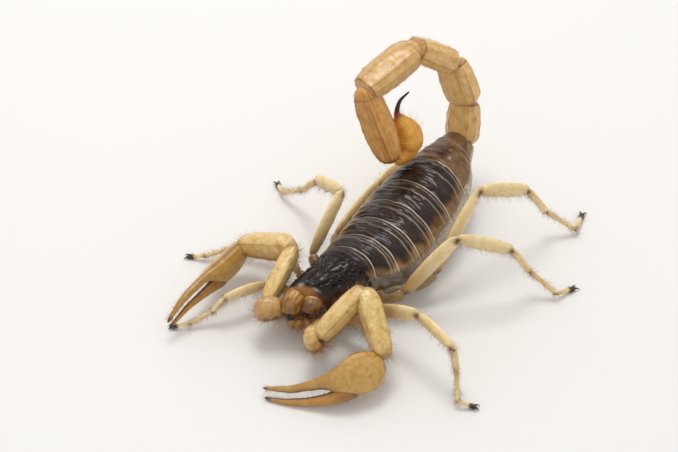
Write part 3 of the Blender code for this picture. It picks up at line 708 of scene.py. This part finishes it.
def build_tergites():
    """The seven plates of the back, each slipping under the rear edge of the one before.

    Relief down each plate: a front band sunk under the plate before, a low arch, a fine
    line two fifths ahead of the rear edge, a proud rear rim, and wrinkles drawn out
    across the body. The dark patch is a band round the rolled middle with round ends.
    """
    front, front_sweep, tucked = CARAPACE_REAR, 0, 0.7
    for number, edge in enumerate(TERGITE_REAR_EDGES + (TRUNK_END,), start=1):
        last = edge == TRUNK_END
        sweep, spread = (0, 60) if last else (EDGE_SWEEP, 69)
        share, aside = spread_grid(-spread, spread, 76, 170)
        length = edge - front
        passed = (length + tucked - 0.08) * share - tucked
        reach = passed / length
        points = trunk_surface(front + passed, aside, 0, front_sweep + (sweep - front_sweep) * share)
        line = hump(reach, 0.6, 0.13 / length) * ramp(length, 2, 4)
        drawn = points * (0.3, 1, 0.3)
        wrinkles = ripples(drawn, 1.5, 20 + number) + 0.6 * ripples(drawn, 0.7, 30 + number)
        calm = 1 - 0.6 * ramp(np.abs(aside), 54, 62)
        grain = ramp(reach, 0.5, 0.9) * (0.3 + 0.7 * ramp(np.abs(aside), 15, 45)) * calm
        arch = np.sin(math.pi * reach.clip(0, 1))
        height = (0.2 * arch + 0.09 * hump(passed, length - 0.22, 0.14) + 0.05 * line
                  - 0.05 * hump(reach, 0.53, 0.3 / length) - 0.24 * fall(passed, -0.3, 0.5) - 0.05
                  + 0.06 * calm * wrinkles + 0.03 * grain * grains(points, 1.1, 40 + number))
        points = lifted(points, height)
        from_middle = np.abs(aside) + 8 * (2 * reach.clip(0, 1) - 1) ** 4
        from_middle = from_middle + 2 * ripples(points, 2.2, 50 + number)
        amber, clear = ramp(from_middle, 45, 57), ramp(from_middle, 54, 66)
        if last:
            patch = hump(aside, -6, 15) * hump(reach, 0.22, 0.2)
            amber = 1 - 0.75 * patch
            clear = np.maximum(ramp(from_middle, 34, 52), 0.7 * ramp(-aside, 6, 22))
            clear = 0.55 * np.maximum(clear, 0.5) * (1 - patch)
        pale = np.maximum(ramp(passed, length - 0.42, length - 0.3), 0.5 * line)
        pale = np.maximum(pale, 0.4 * hump(passed, length - 0.95, 0.12) * ramp(length, 2, 3))
        # the pale rims are the plates' real margins, painted brighter towards the near side as a painted
        # highlight
        shell_plate(f"tergite_{number}_shell", points, 0.16, DARK_SHELL,
                    "brown_shell" if last else "dark_shell", f"tergite_{number}",
                    amber=amber, clear=clear, grain=grain, rim=pale * (0.35 + 0.65 * ramp(aside, -25, 20)))
        front, front_sweep = edge, sweep


def build_soft_skin():
    """The soft flanks and the underside skin as one closed bag inside the plates.

    Relief on the flanks: swells between the rear edges of the plates, long folds along
    the body as ridges of a slowly wandering angle, and small creases.
    """
    share, turn = bag_grid(320, 230)
    back = CARAPACE_REAR - 1.6 + (TRUNK_END - CARAPACE_REAR + 1.3) * share
    aside = np.abs(turn)
    upper, under = fall(aside, 60, 69), ramp(aside, 116, 128)
    points = trunk_surface(back, turn, 0.95 * upper + 0.3 * under)
    flank = (1 - upper) * (1 - under)
    swept = back + EDGE_SWEEP * np.sin(np.radians(turn)) ** 2 * fall(back, 45, 50)
    arcs = sum(hump(swept, edge, 0.22) for edge in TERGITE_REAR_EDGES)
    valleys = sum(hump(swept, edge + 0.5, 0.45) for edge in TERGITE_REAR_EDGES)
    wander = 9 * ripples(points, 9, 61)
    folds = sum(hump(aside + wander, place, 3.2) for place in (76, 88, 99, 109))
    creases = ripples(points * (1, 0.5, 1), 0.9, 63)
    height = flank * (0.12 * arcs - 0.22 * valleys + 0.07 * folds + 0.015 * creases
                      + 0.08 * ripples(points, 2.6, 62) - 0.12)
    closed_tube("soft_skin", lifted(points, height, True), SOFT_SKIN, "soft_flank", "mesosoma_belly",
                pale=flank * np.maximum(0.9 * arcs, 0.2 * folds) * fall(aside, 86, 104),
                low=ramp(aside + 0.6 * wander, 96, 112) * (1 - 0.5 * under),
                mauve=flank * fall(back, 18, 26) * 0.8)


def build_belly_plates():
    """The five plates of the belly, each with a breathing slit near either side."""
    for number, (front, rear) in enumerate(zip(BELLY_EDGES, BELLY_EDGES[1:]), start=3):
        share, angle = spread_grid(124, 236, 60, 110)
        points = trunk_surface(front + (rear - front - 0.15) * share, angle, 0, -0.5)
        rim = hump(share, 0.95, 0.04)
        slits = (hump(angle, 140, 4.5) + hump(angle, 220, 4.5)) * hump(share, 0.55, 0.05)
        height = 0.08 * rim - 0.2 * slits + 0.1 * np.sin(math.pi * share) - 0.1
        shell_plate(f"belly_plate_{number}", lifted(points, height), 0.3, HORNS["belly plate"], "tan_shell",
                    shade=0.6 * rim, joint=slits, grain=0.1, keel=0, tip=0)


def build_prosoma_underside():
    """The ring of leg roots under the carapace, grooved where they meet, and the lobes before it."""
    share, turn = bag_grid(200, 160)
    back = 1.6 + (CARAPACE_REAR - 1.2) * share
    points = trunk_surface(back, turn, 0.9 * fall(np.abs(turn), 74, 92) + 0.35)
    scale = end_rounding(share, 0.12, 0.12)
    middle = points.mean(1, keepdims=True)
    points = middle + (points - middle) * scale[..., None]
    side_ways = np.radians(180 - np.abs(turn)) * 4.5
    grooves = sum(hump(back - 0.25 * side_ways, place, 0.18) for place in (3, 5.2, 7.8, 10.6))
    seam = hump(turn, 180, 3) + hump(turn, -180, 3)
    under = ramp(np.abs(turn), 92, 104)
    height = under * (-0.3 * grooves - 0.25 * seam + 0.03 * ripples(points, 1, 71))
    horn_tube("leg_root_block", lifted(points, height * scale, True), HORNS["leg root shell"], "tan_shell",
              "prosoma_underside", grain=0.3, shade=grooves * under, joint=1 - ramp(share, 0.15, 0.4))
    for order, (inner, outer, thick) in enumerate(MOUTH_LOBES):
        limb = Limb(straight_path(inner, outer, 50), thick, 1.25 * thick, 40, (0.3, 0.25), 0.9)
        surface = limb.raised(0.05 * ripples(limb.points, 0.9, 345 + order))
        horn_tube(f"mouth_lobe_{order}", surface, HORNS["jaw shell"], "tan_shell", grain=0.6, keel=0.1,
                  shade=0.1, joint=0.2 * ramp(limb.u, 0.9, 1))
        grow_bristles("mouth", limb, surface, 60, 700 + order, (0.7, 1.8), 50, 0.15, shares=(0.6, 0.95))


# --- limbs
def toothed(u, count):
    """A row of teeth along a keel: the positive part of a sine of the share."""
    return np.clip(np.sin(u * TURN * count), 0, 1)


def keels(limb, places, width, height, teeth=0, count=30):
    """Keels along a segment at the given angles, beaded by rounded teeth."""
    total = sum(ridge(limb.angle, math.radians(place), width) for place in places)
    along = ramp(limb.u, 0.04, 0.14) * fall(limb.u, 0.88, 0.97)
    return height * total * along * (1 - teeth + teeth * toothed(limb.u, count))


def streaks(limb, seed, lines=9):
    """Fine lines drawn out along a segment, 0 to 1: ripples quick round its axis and slow along it."""
    angle, u = np.broadcast_arrays(limb.angle, limb.u)
    turned = np.stack([lines * np.cos(angle), lines * np.sin(angle), 2.5 * u], -1)
    return np.clip(0.7 * ripples(turned, 3.2, seed), 0, 1)


def joint_marks(limb, start, end):
    """Dark bands at the ends of a segment, strongest on its two sides where it hinges."""
    hinges = 0.25 + 0.75 * np.abs(np.cos(limb.angle)) ** 6
    return np.maximum(fall(limb.u, 0.5 * start, start), ramp(limb.u, 1 - end, 1 - 0.4 * end)) * hinges


# each part of a leg: half side, half tall, sizes along it, end overlap and bow, how much
# browner it is at its near end, partly real brown and partly painted shade; then number of
# bristles, their lengths, lean from upright and how black they are; and the piece of the
# CAD model that it replaces
LEG_PARTS = {
    "femur": (0.85, 1.75, (0.6, 0.86, 1, 0.92, 0.7), 0.35, 0.25, 0.85,
              (150, (0.5, 1.3), 35, 0), "femur"),
    "patella": (0.8, 1.42, (0.58, 0.92, 1.06, 0.94, 0.66), 0.35, 0.2, 0.1,
              (280, (0.6, 1.6), 22, 0.1), "patella"),
    "tibia": (0.6, 0.7, (0.78, 0.95, 0.95, 0.9, 0.95), 0.25, 0.1, 0.1,
              (170, (0.5, 1.2), 30, 0.15), None),
    "basitarsus": (0.46, 0.5, (0.85, 0.95, 0.92, 0.85, 0.85), 0.2, 0, 0.2,
              (240, (0.5, 1.3), 28, 0.2), None),
    "tarsus": (0.4, 0.43, (0.8, 0.95, 1, 0.95, 0.75), 0.15, 0.1, 0.3,
              (220, (0.3, 0.7), 48, 0.9), "foot"),
}
# how strong the painted shade of the legs is on either side of the animal: the left legs stand in shade, so
# their undersides, near ends and joints are painted darker than the right legs'
LEG_SIDE_PAINTED_SHADE = {"left": 1, "right": 0.4}


def build_legs():
    """The eight walking legs: root, femur, patella, tibia, basitarsus, tarsus and two claws each."""
    for (side, number), pose in LEG_POSES.items():
        name, coat = f"leg_{number}_{side}", f"legs_{side}"
        points, size, strength = joints_of(pose), LEG_SCALES[number], LEG_SIDE_PAINTED_SHADE[side]
        aside, height, _, _ = trunk_at(points[0][1])
        inner = points[0] + 0.3 * (np.array([aside, points[0][1], height]) - points[0])
        deep = size * eased(rows_between(40), (0, 0.5, 1), (1.5, 1.25, 1.25))
        root = Limb(bent_path([inner, *points[:2]], 40), 0.95 * size, deep, 36, (0.2, 0.15))
        horn_tube(f"{name}_root", root.raised(0.02 * ripples(root.points, 0.8, 80 + number)),
                  HORNS["leg root shell"], "straw_shell", joint=joint_marks(root, 0.05, 0.05),
                  shade=0.3 * (1 - root.u))
        grow_bristles(coat, root, root.points, 60, 560 + number, (0.4, 1), 30)
        for index, (part, row) in enumerate(LEG_PARTS.items(), start=1):
            half_side, half_tall, sizes, overlap, bow, shade, (count, length, lean, dark), node = row
            path = straight_path(*points[index:index + 2], 56, overlap * size, overlap * size, bow * size)
            limb = Limb(path, half_side * size, half_tall * size, 34, (0.11, 0.09),
                        profile=((0, 0.2, 0.5, 0.8, 1), sizes))
            relief = (keels(limb, (90, 270), 0.16, 0.06 * size, 0.5, 24)
                      + keels(limb, (25, 155), 0.14, 0.05 * size, 0.3, 24)
                      + 0.015 * ripples(limb.points, 0.7, 100 + number))
            surface = above_floor(limb.raised(relief))
            foot = part == "tarsus"
            seed = 500 + 10 * number + index
            grow_bristles(coat, limb, surface, int(count * size), seed, length, lean, dark,
                          around=(0, 360) if index > 3 else (150, 390),
                          shares=(0.6, 0.97) if foot else (0.06, 0.94))
            horn_tube(f"{name}_{part}", surface, HORNS["leg shell"], "straw_shell", node and f"{name}_{node}",
                      # painted shade: each leg's underside and near end are darker, and the left legs' shade
                      # and joints are darker than the right legs'
                      joint=math.sqrt(strength) * joint_marks(limb, 0.11, 0.12), keel=relief.clip(0, 1) * 2,
                      shade=strength * np.maximum(0.5 * ridge(limb.angle, UNDER, 0.5),
                                                  shade * fall(limb.u, 0.05, 0.8)),
                      tip=0.95 * ramp(limb.u, 0.55, 0.8) if foot else 0)
        build_claws(name, points, size)


def build_claws(name, points, size):
    """Two curved claws and a small middle one at the end of a foot, and the small dark spur of the tibia."""
    along = unit(points[6] - points[5])
    level = unit(along * (1, 1, 0))
    tip = points[6] - 0.35 * along
    for order, (turn, length) in enumerate(((0.45, 1.7), (-0.45, 1.7), (0, 0.7))):
        way = unit(level + turn * np.cross(level, UP)) * length * size
        path = bent_path([tip, tip + 0.5 * way + (0, 0, 0.12), tip + way - (0, 0, 0.3)], 24)
        claw = Limb(above_floor(path, 0.14), 0.22, 0.22, 14, (0.1, 0.25), profile=((0, 1), (1, 0.3)))
        closed_tube(f"{name}_claw_{order}", above_floor(claw.points, 0.02), CLAW_HORN, "straw_shell", dark=1)
    base = points[4] - 0.3 * unit(points[4] - points[3])
    ahead = unit(points[5] - points[4])
    path = straight_path(base, base + 0.9 * size * unit(ahead * (1, 1, 0) - (0, 0, 0.9)), 14)
    spur = Limb(path, 0.22, 0.22, 12, (0.1, 0.2), profile=((0, 1), (1, 0.2)), reference=BACKWARDS)
    closed_tube(f"{name}_spur", spur.points, CLAW_HORN, "straw_shell", dark=0.7)


def palp_segment(side, part, node, path, half_side, half_tall, columns, places, grain, seed, profile=None,
                 rounding=(0.09, 0.09), squareness=0.9, keel=0.15, shade=0):
    """One segment of a palp, keeled at the given angles and grained between them."""
    coat = f"palp_{side}"
    limb = Limb(path, half_side, half_tall, columns, rounding, squareness, profile)
    relief = keels(limb, places, 0.13, keel, 0.6, 26)
    relief = relief + 0.05 * grain * grains(limb.points, 0.6, seed) + 0.02 * ripples(limb.points, 2, seed + 1)
    surface = limb.raised(relief)
    grow_bristles(coat, limb, surface, 200, seed + 600, (0.5, 1.6), 30)
    grow_bristles(coat, limb, surface, 200, seed + 601, (1.6, 2.56), 20, around=(190, 350))
    # painted shade: the lower facets of each segment are painted darker and browner than the upper facets,
    # where light falls
    low = shade + 0.7 * ramp(-np.sin(limb.angle), -0.1, 0.35)
    horn_tube(f"{coat}_{part}", surface, HORNS["palp shell"], "tan_shell", f"{coat}_{node}", grain=grain,
              joint=joint_marks(limb, 0.08, 0.08), keel=(relief.clip(0, 1) * 7).clip(0, 1),
              shade=0.12 * streaks(limb, seed + 2) + np.maximum(low, 0.5 * ramp(limb.u, 0.8, 0.97)))


# along the line from wrist to fingertip: heights of the upper and the lower edge, and half the width
PALM_EDGES = {
    "left": ((0, -0.3, -3, 1.3), (1.2, 0.9, -4.5, 1.6), (2.5, 1.6, -5.1, 1.9), (4, 1.9, -5.3, 2),
             (5.8, 1.75, -5.3, 2.05), (7.6, 0.85, -4.7, 1.9), (9.4, 0.05, -3.9, 1.45), (10.8, -0.4, -3.1, 1.05),
             (14, -0.85, -2.5, 0.8), (17, -0.87, -2.15, 0.7), (20, -0.35, -1.15, 0.5),
             (21.8, -0.05, -0.45, 0.3)),
    "right": ((0, 1, -2.2, 1.3), (1.2, 1.5, -3.2, 1.6), (2.5, 1.75, -3.7, 1.75), (5, 1.95, -3.95, 1.8),
              (7.2, 2.1, -3.5, 1.7), (8.6, 2.2, -1.8, 1.45), (10.4, 2.35, 0.2, 0.95), (14, 2.45, 0.85, 0.75),
              (17, 2.3, 0.9, 0.65), (20.4, 0.9, 0, 0.38), (21.8, 0, -0.45, 0.28)),
}
THUMB_EDGES = {
    "left": ((5.4, -3.7, -5.5, 1), (7, -3.5, -5.8, 1.15), (9, -3.4, -5.85, 1.1), (11, -3.65, -5.75, 0.95),
             (13.5, -3.72, -5.35, 0.85), (16.2, -3.4, -4.65, 0.7), (19, -2.8, -3.75, 0.55),
             (21.9, -1.75, -2.15, 0.28)),
    "right": ((6.3, -1.5, -3.8, 1.15), (7.6, -0.9, -3.85, 1.2), (9, -0.5, -3.55, 1), (11, -0.5, -2.95, 0.78),
              (13.5, -0.38, -2.25, 0.62), (17, -0.3, -1.5, 0.5), (20, -0.78, -1.5, 0.36),
              (21.9, -1.1, -1.6, 0.25)),
}
# how far each finger stands to its own side of the middle plane of the claw
FINGER_PARTING = {"left": 0, "right": 0.16}
# how far round each finger the dark toothed edge of the gap reaches, in radians
GAP_EDGE_REACH = {"left": 0.75, "right": 0.3}
PALM_KEELS = {"left": (130, 250, 50, 292), "right": (92, 62, 175, 318)}
# half width of the trochanter, slimness of the femur and brown of the trochanter
PALP_BUILD = {"left": (2.2, 1, 0.2), "right": (2.45, 0.86, 0.5)}


def build_palps():
    """The two pincer arms: root, trochanter, femur, patella, palm with fixed finger, movable finger."""
    for side, pose in PALP_POSES.items():
        points = joints_of(pose)
        thick, slim, shade = PALP_BUILD[side]
        palp_segment(side, "root", "coxa", straight_path(*PALP_COXA_ENDS[side], 50, 0.6, 0.5), 1.2, 1.25, 60,
                     (60, 120), 0.3, 200, rounding=(0.3, 0.3))
        palp_segment(side, "trochanter_shell", "trochanter", straight_path(*points[:2], 60, 0.3, 0.5),
                     thick, thick, 80, (40, 100, 160), 1.2, 205, ((0, 0.3, 0.7, 1), (0.7, 1, 1, 0.8)),
                     (0.22, 0.22), 0.75, 0.05, shade)
        palp_segment(side, "femur_shell", "femur", straight_path(*points[1:3], 90, 0.5, 0.5, 0.15), slim * 1.75,
                     slim * 2, 96, (42, 138, 222, 318), 0.9, 210,
                     ((0, 0.18, 0.5, 0.82, 1), (0.62, 0.9, 1, 0.92, 0.7)), squareness=0.66)
        palp_segment(side, "patella_shell", "patella", straight_path(*points[2:4], 90, 0.5, 0.6, 0.15),
                     2.05, 2.25, 100, (38, 142, 222, 318), 0.9, 215,
                     ((0, 0.18, 0.5, 0.82, 1), (0.62, 0.98, 1.02, 0.9, 0.7)), squareness=0.68)
        build_claw(side, *points[3:])


def edged_limb(root, tip, bend, crest, edges, rows, columns):
    """A limb whose edges and width follow a table along its straight line, bent sideways.

    Also the length along that line of each row, as a column.
    """
    way = unit(tip - root)
    tall = unit(crest - np.dot(crest, way) * way)
    places, upper, lower, widths = np.array(edges).T
    s = places[0] + (places[-1] - places[0]) * rows_between(rows)
    top, bottom = eased(s, places, upper), eased(s, places, lower)
    aside = eased(s, *np.array(bend).T)[:, None] * np.cross(way, tall)
    centre = root + s[:, None] * way + aside + (0.5 * (top + bottom))[:, None] * tall
    return Limb(centre, eased(s, places, widths), 0.5 * (top - bottom), columns, (0.035, 0.05), 0.95,
                reference=tall, upright=True), s[:, None]


def build_claw(side, root, knuckle, tip):
    """The palm with its fixed finger, the movable finger, and the dark teeth between them."""
    name, crest = f"palp_{side}", np.array(PALM_CREST[side])
    way = unit(tip - root)
    aside = np.dot(knuckle - root, np.cross(way, unit(crest - np.dot(crest, way) * way)))
    shifts = ((-0.5, 0), (2.5, 0.45), (8.4, 1), (14, 0.62), (np.linalg.norm(tip - root) + 0.2, 0))
    palm_bend, thumb_bend = ([(place, share * aside + parting * min(place / 10, 1)) for place, share in shifts]
                             for parting in (FINGER_PARTING[side], -FINGER_PARTING[side]))

    palm, s = edged_limb(root, tip, palm_bend, crest, PALM_EDGES[side], 150, 110)
    relief = keels(palm, PALM_KEELS[side], 0.1, 0.12, 0.4, 40) * (1 - 0.6 * ramp(palm.u, 0.5, 0.7))
    relief = relief + 0.03 * grains(palm.points, 1.3, 230)
    grow_bristles(name, palm, palm.raised(relief), 420, 640, (0.4, 1.2), 40)
    gap_edge = 0.95 * ridge(palm.angle, UNDER, GAP_EDGE_REACH[side]) * ramp(s, 9.8, 11.2)
    relief = relief + 0.14 * gap_edge * toothed(palm.u, 60)
    # the top and bottom edges, seen edge-on, are painted darker: partly the palm's real dark edge and partly
    # painted shade along the outline
    edges = np.maximum(ridge(palm.angle, TOP, 0.24), ridge(palm.angle, UNDER, 0.24))
    horn_tube(f"{name}_palm_shell", palm.raised(relief), HORNS["palm shell"], "tan_shell", f"{name}_palm",
              joint=0.6 * fall(palm.u, 0, 0.03), keel=relief.clip(0, 1) * 3,
              shade=np.maximum(0.08 + 0.22 * ramp(s, 6, 11), 0.7 * edges),
              tip=np.maximum(ramp(s, 20.4, 21.6), gap_edge))

    thumb, s = edged_limb(root, tip, thumb_bend, crest, THUMB_EDGES[side], 100, 60)
    gap_edge = 0.95 * ridge(thumb.angle, TOP, GAP_EDGE_REACH[side]) * ramp(s, 9, 10.4)
    relief = keels(thumb, (200, 270, 340), 0.12, 0.06, 0.2, 40) + 0.14 * gap_edge * toothed(thumb.u, 40)
    surface = thumb.raised(relief)
    grow_bristles(name, thumb, surface, 160, 650, (0.3, 0.9), 45)
    horn_tube(f"{name}_movable_finger_shell", above_floor(surface), HORNS["finger shell"], "amber_shell",
              f"{name}_movable_finger", joint=0.55 * fall(thumb.u, 0.02, 0.12), grain=0.3,
              keel=relief.clip(0, 1) * 6, shade=0.15 + 0.5 * fall(thumb.u, 0.1, 0.4),
              tip=np.maximum(ramp(s, 20.4, 21.6), gap_edge))


# --- tail and sting
def build_tail():
    """The five rings of the tail, each keeled along its length and swollen between its ends."""
    points = joints_of(TAIL_POSE)
    for index, (half_deep, half_broad, fullness) in enumerate(TAIL_SIZES):
        places, sizes = (35, 145, 215, 325, 70, 110, 250, 290), (0.62, 0.7, 0.92, 1.04, 1.02, 0.9, 0.8)
        shell = HORNS["tail shell"]
        if index == 4:
            places, sizes = (35, 145, 166, 194, 215, 325), (0.66, 0.76, 0.94, 1.08, 1.06, 0.84, 0.56)
            shell = HORNS["last tail ring"]
        limb = Limb(straight_path(*points[index:index + 2], 120, 0.9, 0.3), half_deep * fullness,
                    half_broad * fullness, 120, (0.09, 0.03), 0.85, ((0, 0.09, 0.18, 0.45, 0.7, 0.9, 1), sizes),
                    LEFTWARDS)
        between = 1 - np.max([ridge(limb.angle, math.radians(place), 0.22) for place in places], axis=0)
        lines = streaks(limb, 320 + index, 12)
        relief = (keels(limb, places, 0.08, 0.16, 0.35, 22) - 0.12 * between * ramp(limb.u, 0.14, 0.3)
                  + 0.05 * grains(limb.points, 1.3, 300 + index) + 0.03 * ripples(limb.points, 2, 310 + index)
                  + 0.04 * lines)
        surface = limb.raised(relief)
        grow_bristles("tail", limb, surface, 260 + 40 * index, 660 + index, (0.3, 0.75), 35, 0.1)
        # painted shade on the fourth ring, to darken its upward facet where the lamps light it brightly
        ring_four_painted_shade = 0.5 if index == 3 else 0
        name = f"metasoma_{index + 1}"
        horn_tube(f"{name}_shell", surface, shell, "tan_shell", name, grain=0.35,
                  joint=0.75 * hump(limb.u, 0.962, 0.014) + 0.45 * hump(limb.u, 0.135, 0.012),
                  keel=(relief.clip(0, 1) * 3).clip(0, 1),
                  shade=0.24 * lines + 0.4 * np.maximum(ramp(limb.u, 0.9, 0.97), ring_four_painted_shade))


def build_telson():
    """The striped bulb of the sting on its neck, and the dark curved point."""
    bulb = joints_of(TELSON_POSE)
    limb = Limb(bent_path(bulb, 130), 2.8, 2.9, 120, (0.06, 0.03), reference=LEFTWARDS,
                profile=((0, 0.28, 0.5, 0.78, 1), (0.42, 0.82, 1, 0.7, 0.3)))
    stripes = 0.05 * np.sin(limb.u * TURN * 26 + 0.8 * ripples(limb.points, 3, 330))
    surface = limb.raised(stripes * np.abs(np.cos(limb.angle)) + 0.03 * ripples(limb.points, 2.5, 331))
    grow_bristles("tail", limb, surface, 200, 670, (0.8, 2.4), 25, 0, 0.018)
    closed_tube("telson_vesicle_shell", surface, STING_BULB, "amber_shell", "telson_vesicle",
                stripe=(stripes * 10).clip(0, 1), dark=ramp(limb.u, 0.9, 1))
    path = bent_path([bulb[-2], *joints_of(ACULEUS_POSE)], 80)
    sting = Limb(path, 1, 1, 48, (0.04, 0.06), reference=LEFTWARDS,
                 profile=((0, 0.2, 0.45, 0.75, 1), (1, 0.72, 0.46, 0.3, 0.14)))
    closed_tube("aculeus_shell", sting.points, BLACK_HORN, "sting_point", "aculeus",
                dark=ramp(sting.u, 0.28, 0.5))


# --- jaws and combs
def build_chelicerae():
    """The two jaws: a swollen block each under the front of the carapace, with dark hooked fingers.

    Relief of a block: slow swells, small grains and fine ridges drawn out along it.
    """
    for seed, (side, (block, hooks, brown)) in enumerate(JAW_POSES.items(), start=714):
        limb = Limb(bent_path(block, 90), 1, 1, 80, (0.12, 0.22), 0.84,
                    ((0, 0.2, 0.5, 0.8, 1), (1.5, 1.82, 1.96, 1.84, 1.4)))
        ribs = ripples(limb.points * (1.6, 0.3, 0.3), 0.9, 342)
        relief = 0.03 * ripples(limb.points, 1.2, 340) + 0.04 * grains(limb.points, 0.8, 341) + 0.02 * ribs
        horn_tube(f"chelicera_{side}_shell", limb.raised(relief), HORNS["jaw shell"], "amber_shell",
                  f"chelicera_{side}", joint=0.8 * ramp(limb.u, 0.8, 0.97), grain=1,
                  keel=0.75 * (0.3 - ribs).clip(0, 1),
                  # painted shade: each block's underside is darker, and the brown towards its fingers is partly
                  # painted shade
                  shade=np.maximum(0.7 * ridge(limb.angle, UNDER, 0.9), brown * ramp(limb.u, 0.3, 0.8)))
        grow_bristles("mouth", limb, limb.points, 240, seed, (0.4, 1.3), 45, 0.2,
                      around=(170, 370), shares=(0.5, 0.92))
        for order, (*hook, thick) in enumerate(hooks):
            finger = Limb(bent_path(hook, 40), 0.8 * thick, thick, 24, (0.08, 0.15), profile=((0, 1), (1, 0.3)))
            teeth = 0.1 * toothed(finger.u, 5) * ridge(finger.angle, UNDER, 0.5)
            closed_tube(f"jaw_finger_{side}_{order}", finger.raised(teeth), JAW_HORN, "amber_shell",
                        dark=ramp(finger.u, 0.15, 0.6))


def build_pectines():
    """The two combs under the belly, each a bent shaft with a row of flat teeth behind it."""
    teeth, first, rows_apart = 18, 4, 2.4
    for side, sign in (("left", 1), ("right", -1)):
        root = trunk_surface(17.5, 180 - sign * 14) - 0.75 * UP
        path = bent_path([root, root + (sign * 1.6, 1.6, 0.05), root + (sign * 4, 2.6, 0.5)], 50)
        shaft = Limb(path, 0.5, 1, 24, profile=((0, 0.5, 1), (0.45, 0.5, 0.35)))
        horn_tube(f"pectine_{side}_shell", shaft.points, HORNS["leg shell"], "straw_shell", f"pectine_{side}",
                  grain=0.2)
        for order in range(teeth):
            foot = path[first + round(order * rows_apart)]
            tooth = Limb(straight_path(foot, foot + (sign * 0.15, 0.85, -0.1), 12), 0.1, 0.22, 10, (0.2, 0.3))
            horn_tube(f"comb_tooth_{side}_{order}", tooth.points, HORNS["leg shell"], "straw_shell", grain=0.1)


# --- floor, light and camera
def build_set():
    """A pale floor, a soft overhead light a little behind and to the left, and a large pale backdrop light."""
    bpy.ops.mesh.primitive_plane_add(size=4, location=(0, 0, 0))
    floor = bpy.context.object
    floor.name = "floor"
    material, n, shader = new_material("floor", 0.6)
    place = n.add("ShaderNodeTexCoord").outputs["Object"]
    n.join(n.mix(n.noise(place, 9, 2), (0.8, 0.785, 0.765, 1), (0.82, 0.805, 0.785, 1)),
           shader["Base Color"])
    floor.data.materials.append(material)
    world = bpy.data.worlds.new("studio")
    world.use_nodes = True
    background = world.node_tree.nodes["Background"].inputs
    background["Color"].default_value = (1, 0.99, 0.97, 1)
    background["Strength"].default_value = 0.8
    bpy.context.scene.world = world
    for name, place, size, energy in (("soft overhead", (-0.1, 0.1, 0.42), 0.17, 0.72),
                                      ("backdrop", (-0.5, 0.42, 0.16), 0.9, 0.9)):
        light = bpy.data.lights.new(name, "AREA")
        light.size = size
        light.energy = energy
        lamp = bpy.data.objects.new(name, light)
        lamp.location = place
        x, y, z = place
        lamp.rotation_euler = (math.atan2(math.hypot(x, y), z), 0, math.atan2(-x, y) + math.pi)
        bpy.context.scene.collection.objects.link(lamp)


def build_camera():
    """The camera: 400 mm away, 34.5 degrees round from the front and 43 degrees up."""
    turn, tilt, distance = math.radians(34.5), math.radians(43), 400 * MM
    target = np.array((-10.3, 1.9, 5.9)) * MM
    away = np.array([math.sin(turn) * math.cos(tilt), -math.cos(turn) * math.cos(tilt), math.sin(tilt)])
    data = bpy.data.cameras.new("camera")
    data.lens = 114.69
    data.sensor_width = 36
    data.clip_start = 0.01
    camera = bpy.data.objects.new("camera", data)
    camera.location = target + away * distance
    camera.rotation_euler = (math.pi / 2 - tilt, 0, turn)
    bpy.context.scene.collection.objects.link(camera)
    bpy.context.scene.camera = camera
    bpy.context.scene.view_settings.view_transform = "Standard"


for build in (build_carapace, build_tergites, build_soft_skin, build_belly_plates, build_prosoma_underside,
              build_legs, build_palps, build_tail, build_telson, build_chelicerae, build_pectines, build_coats,
              build_set, build_camera):
    build()
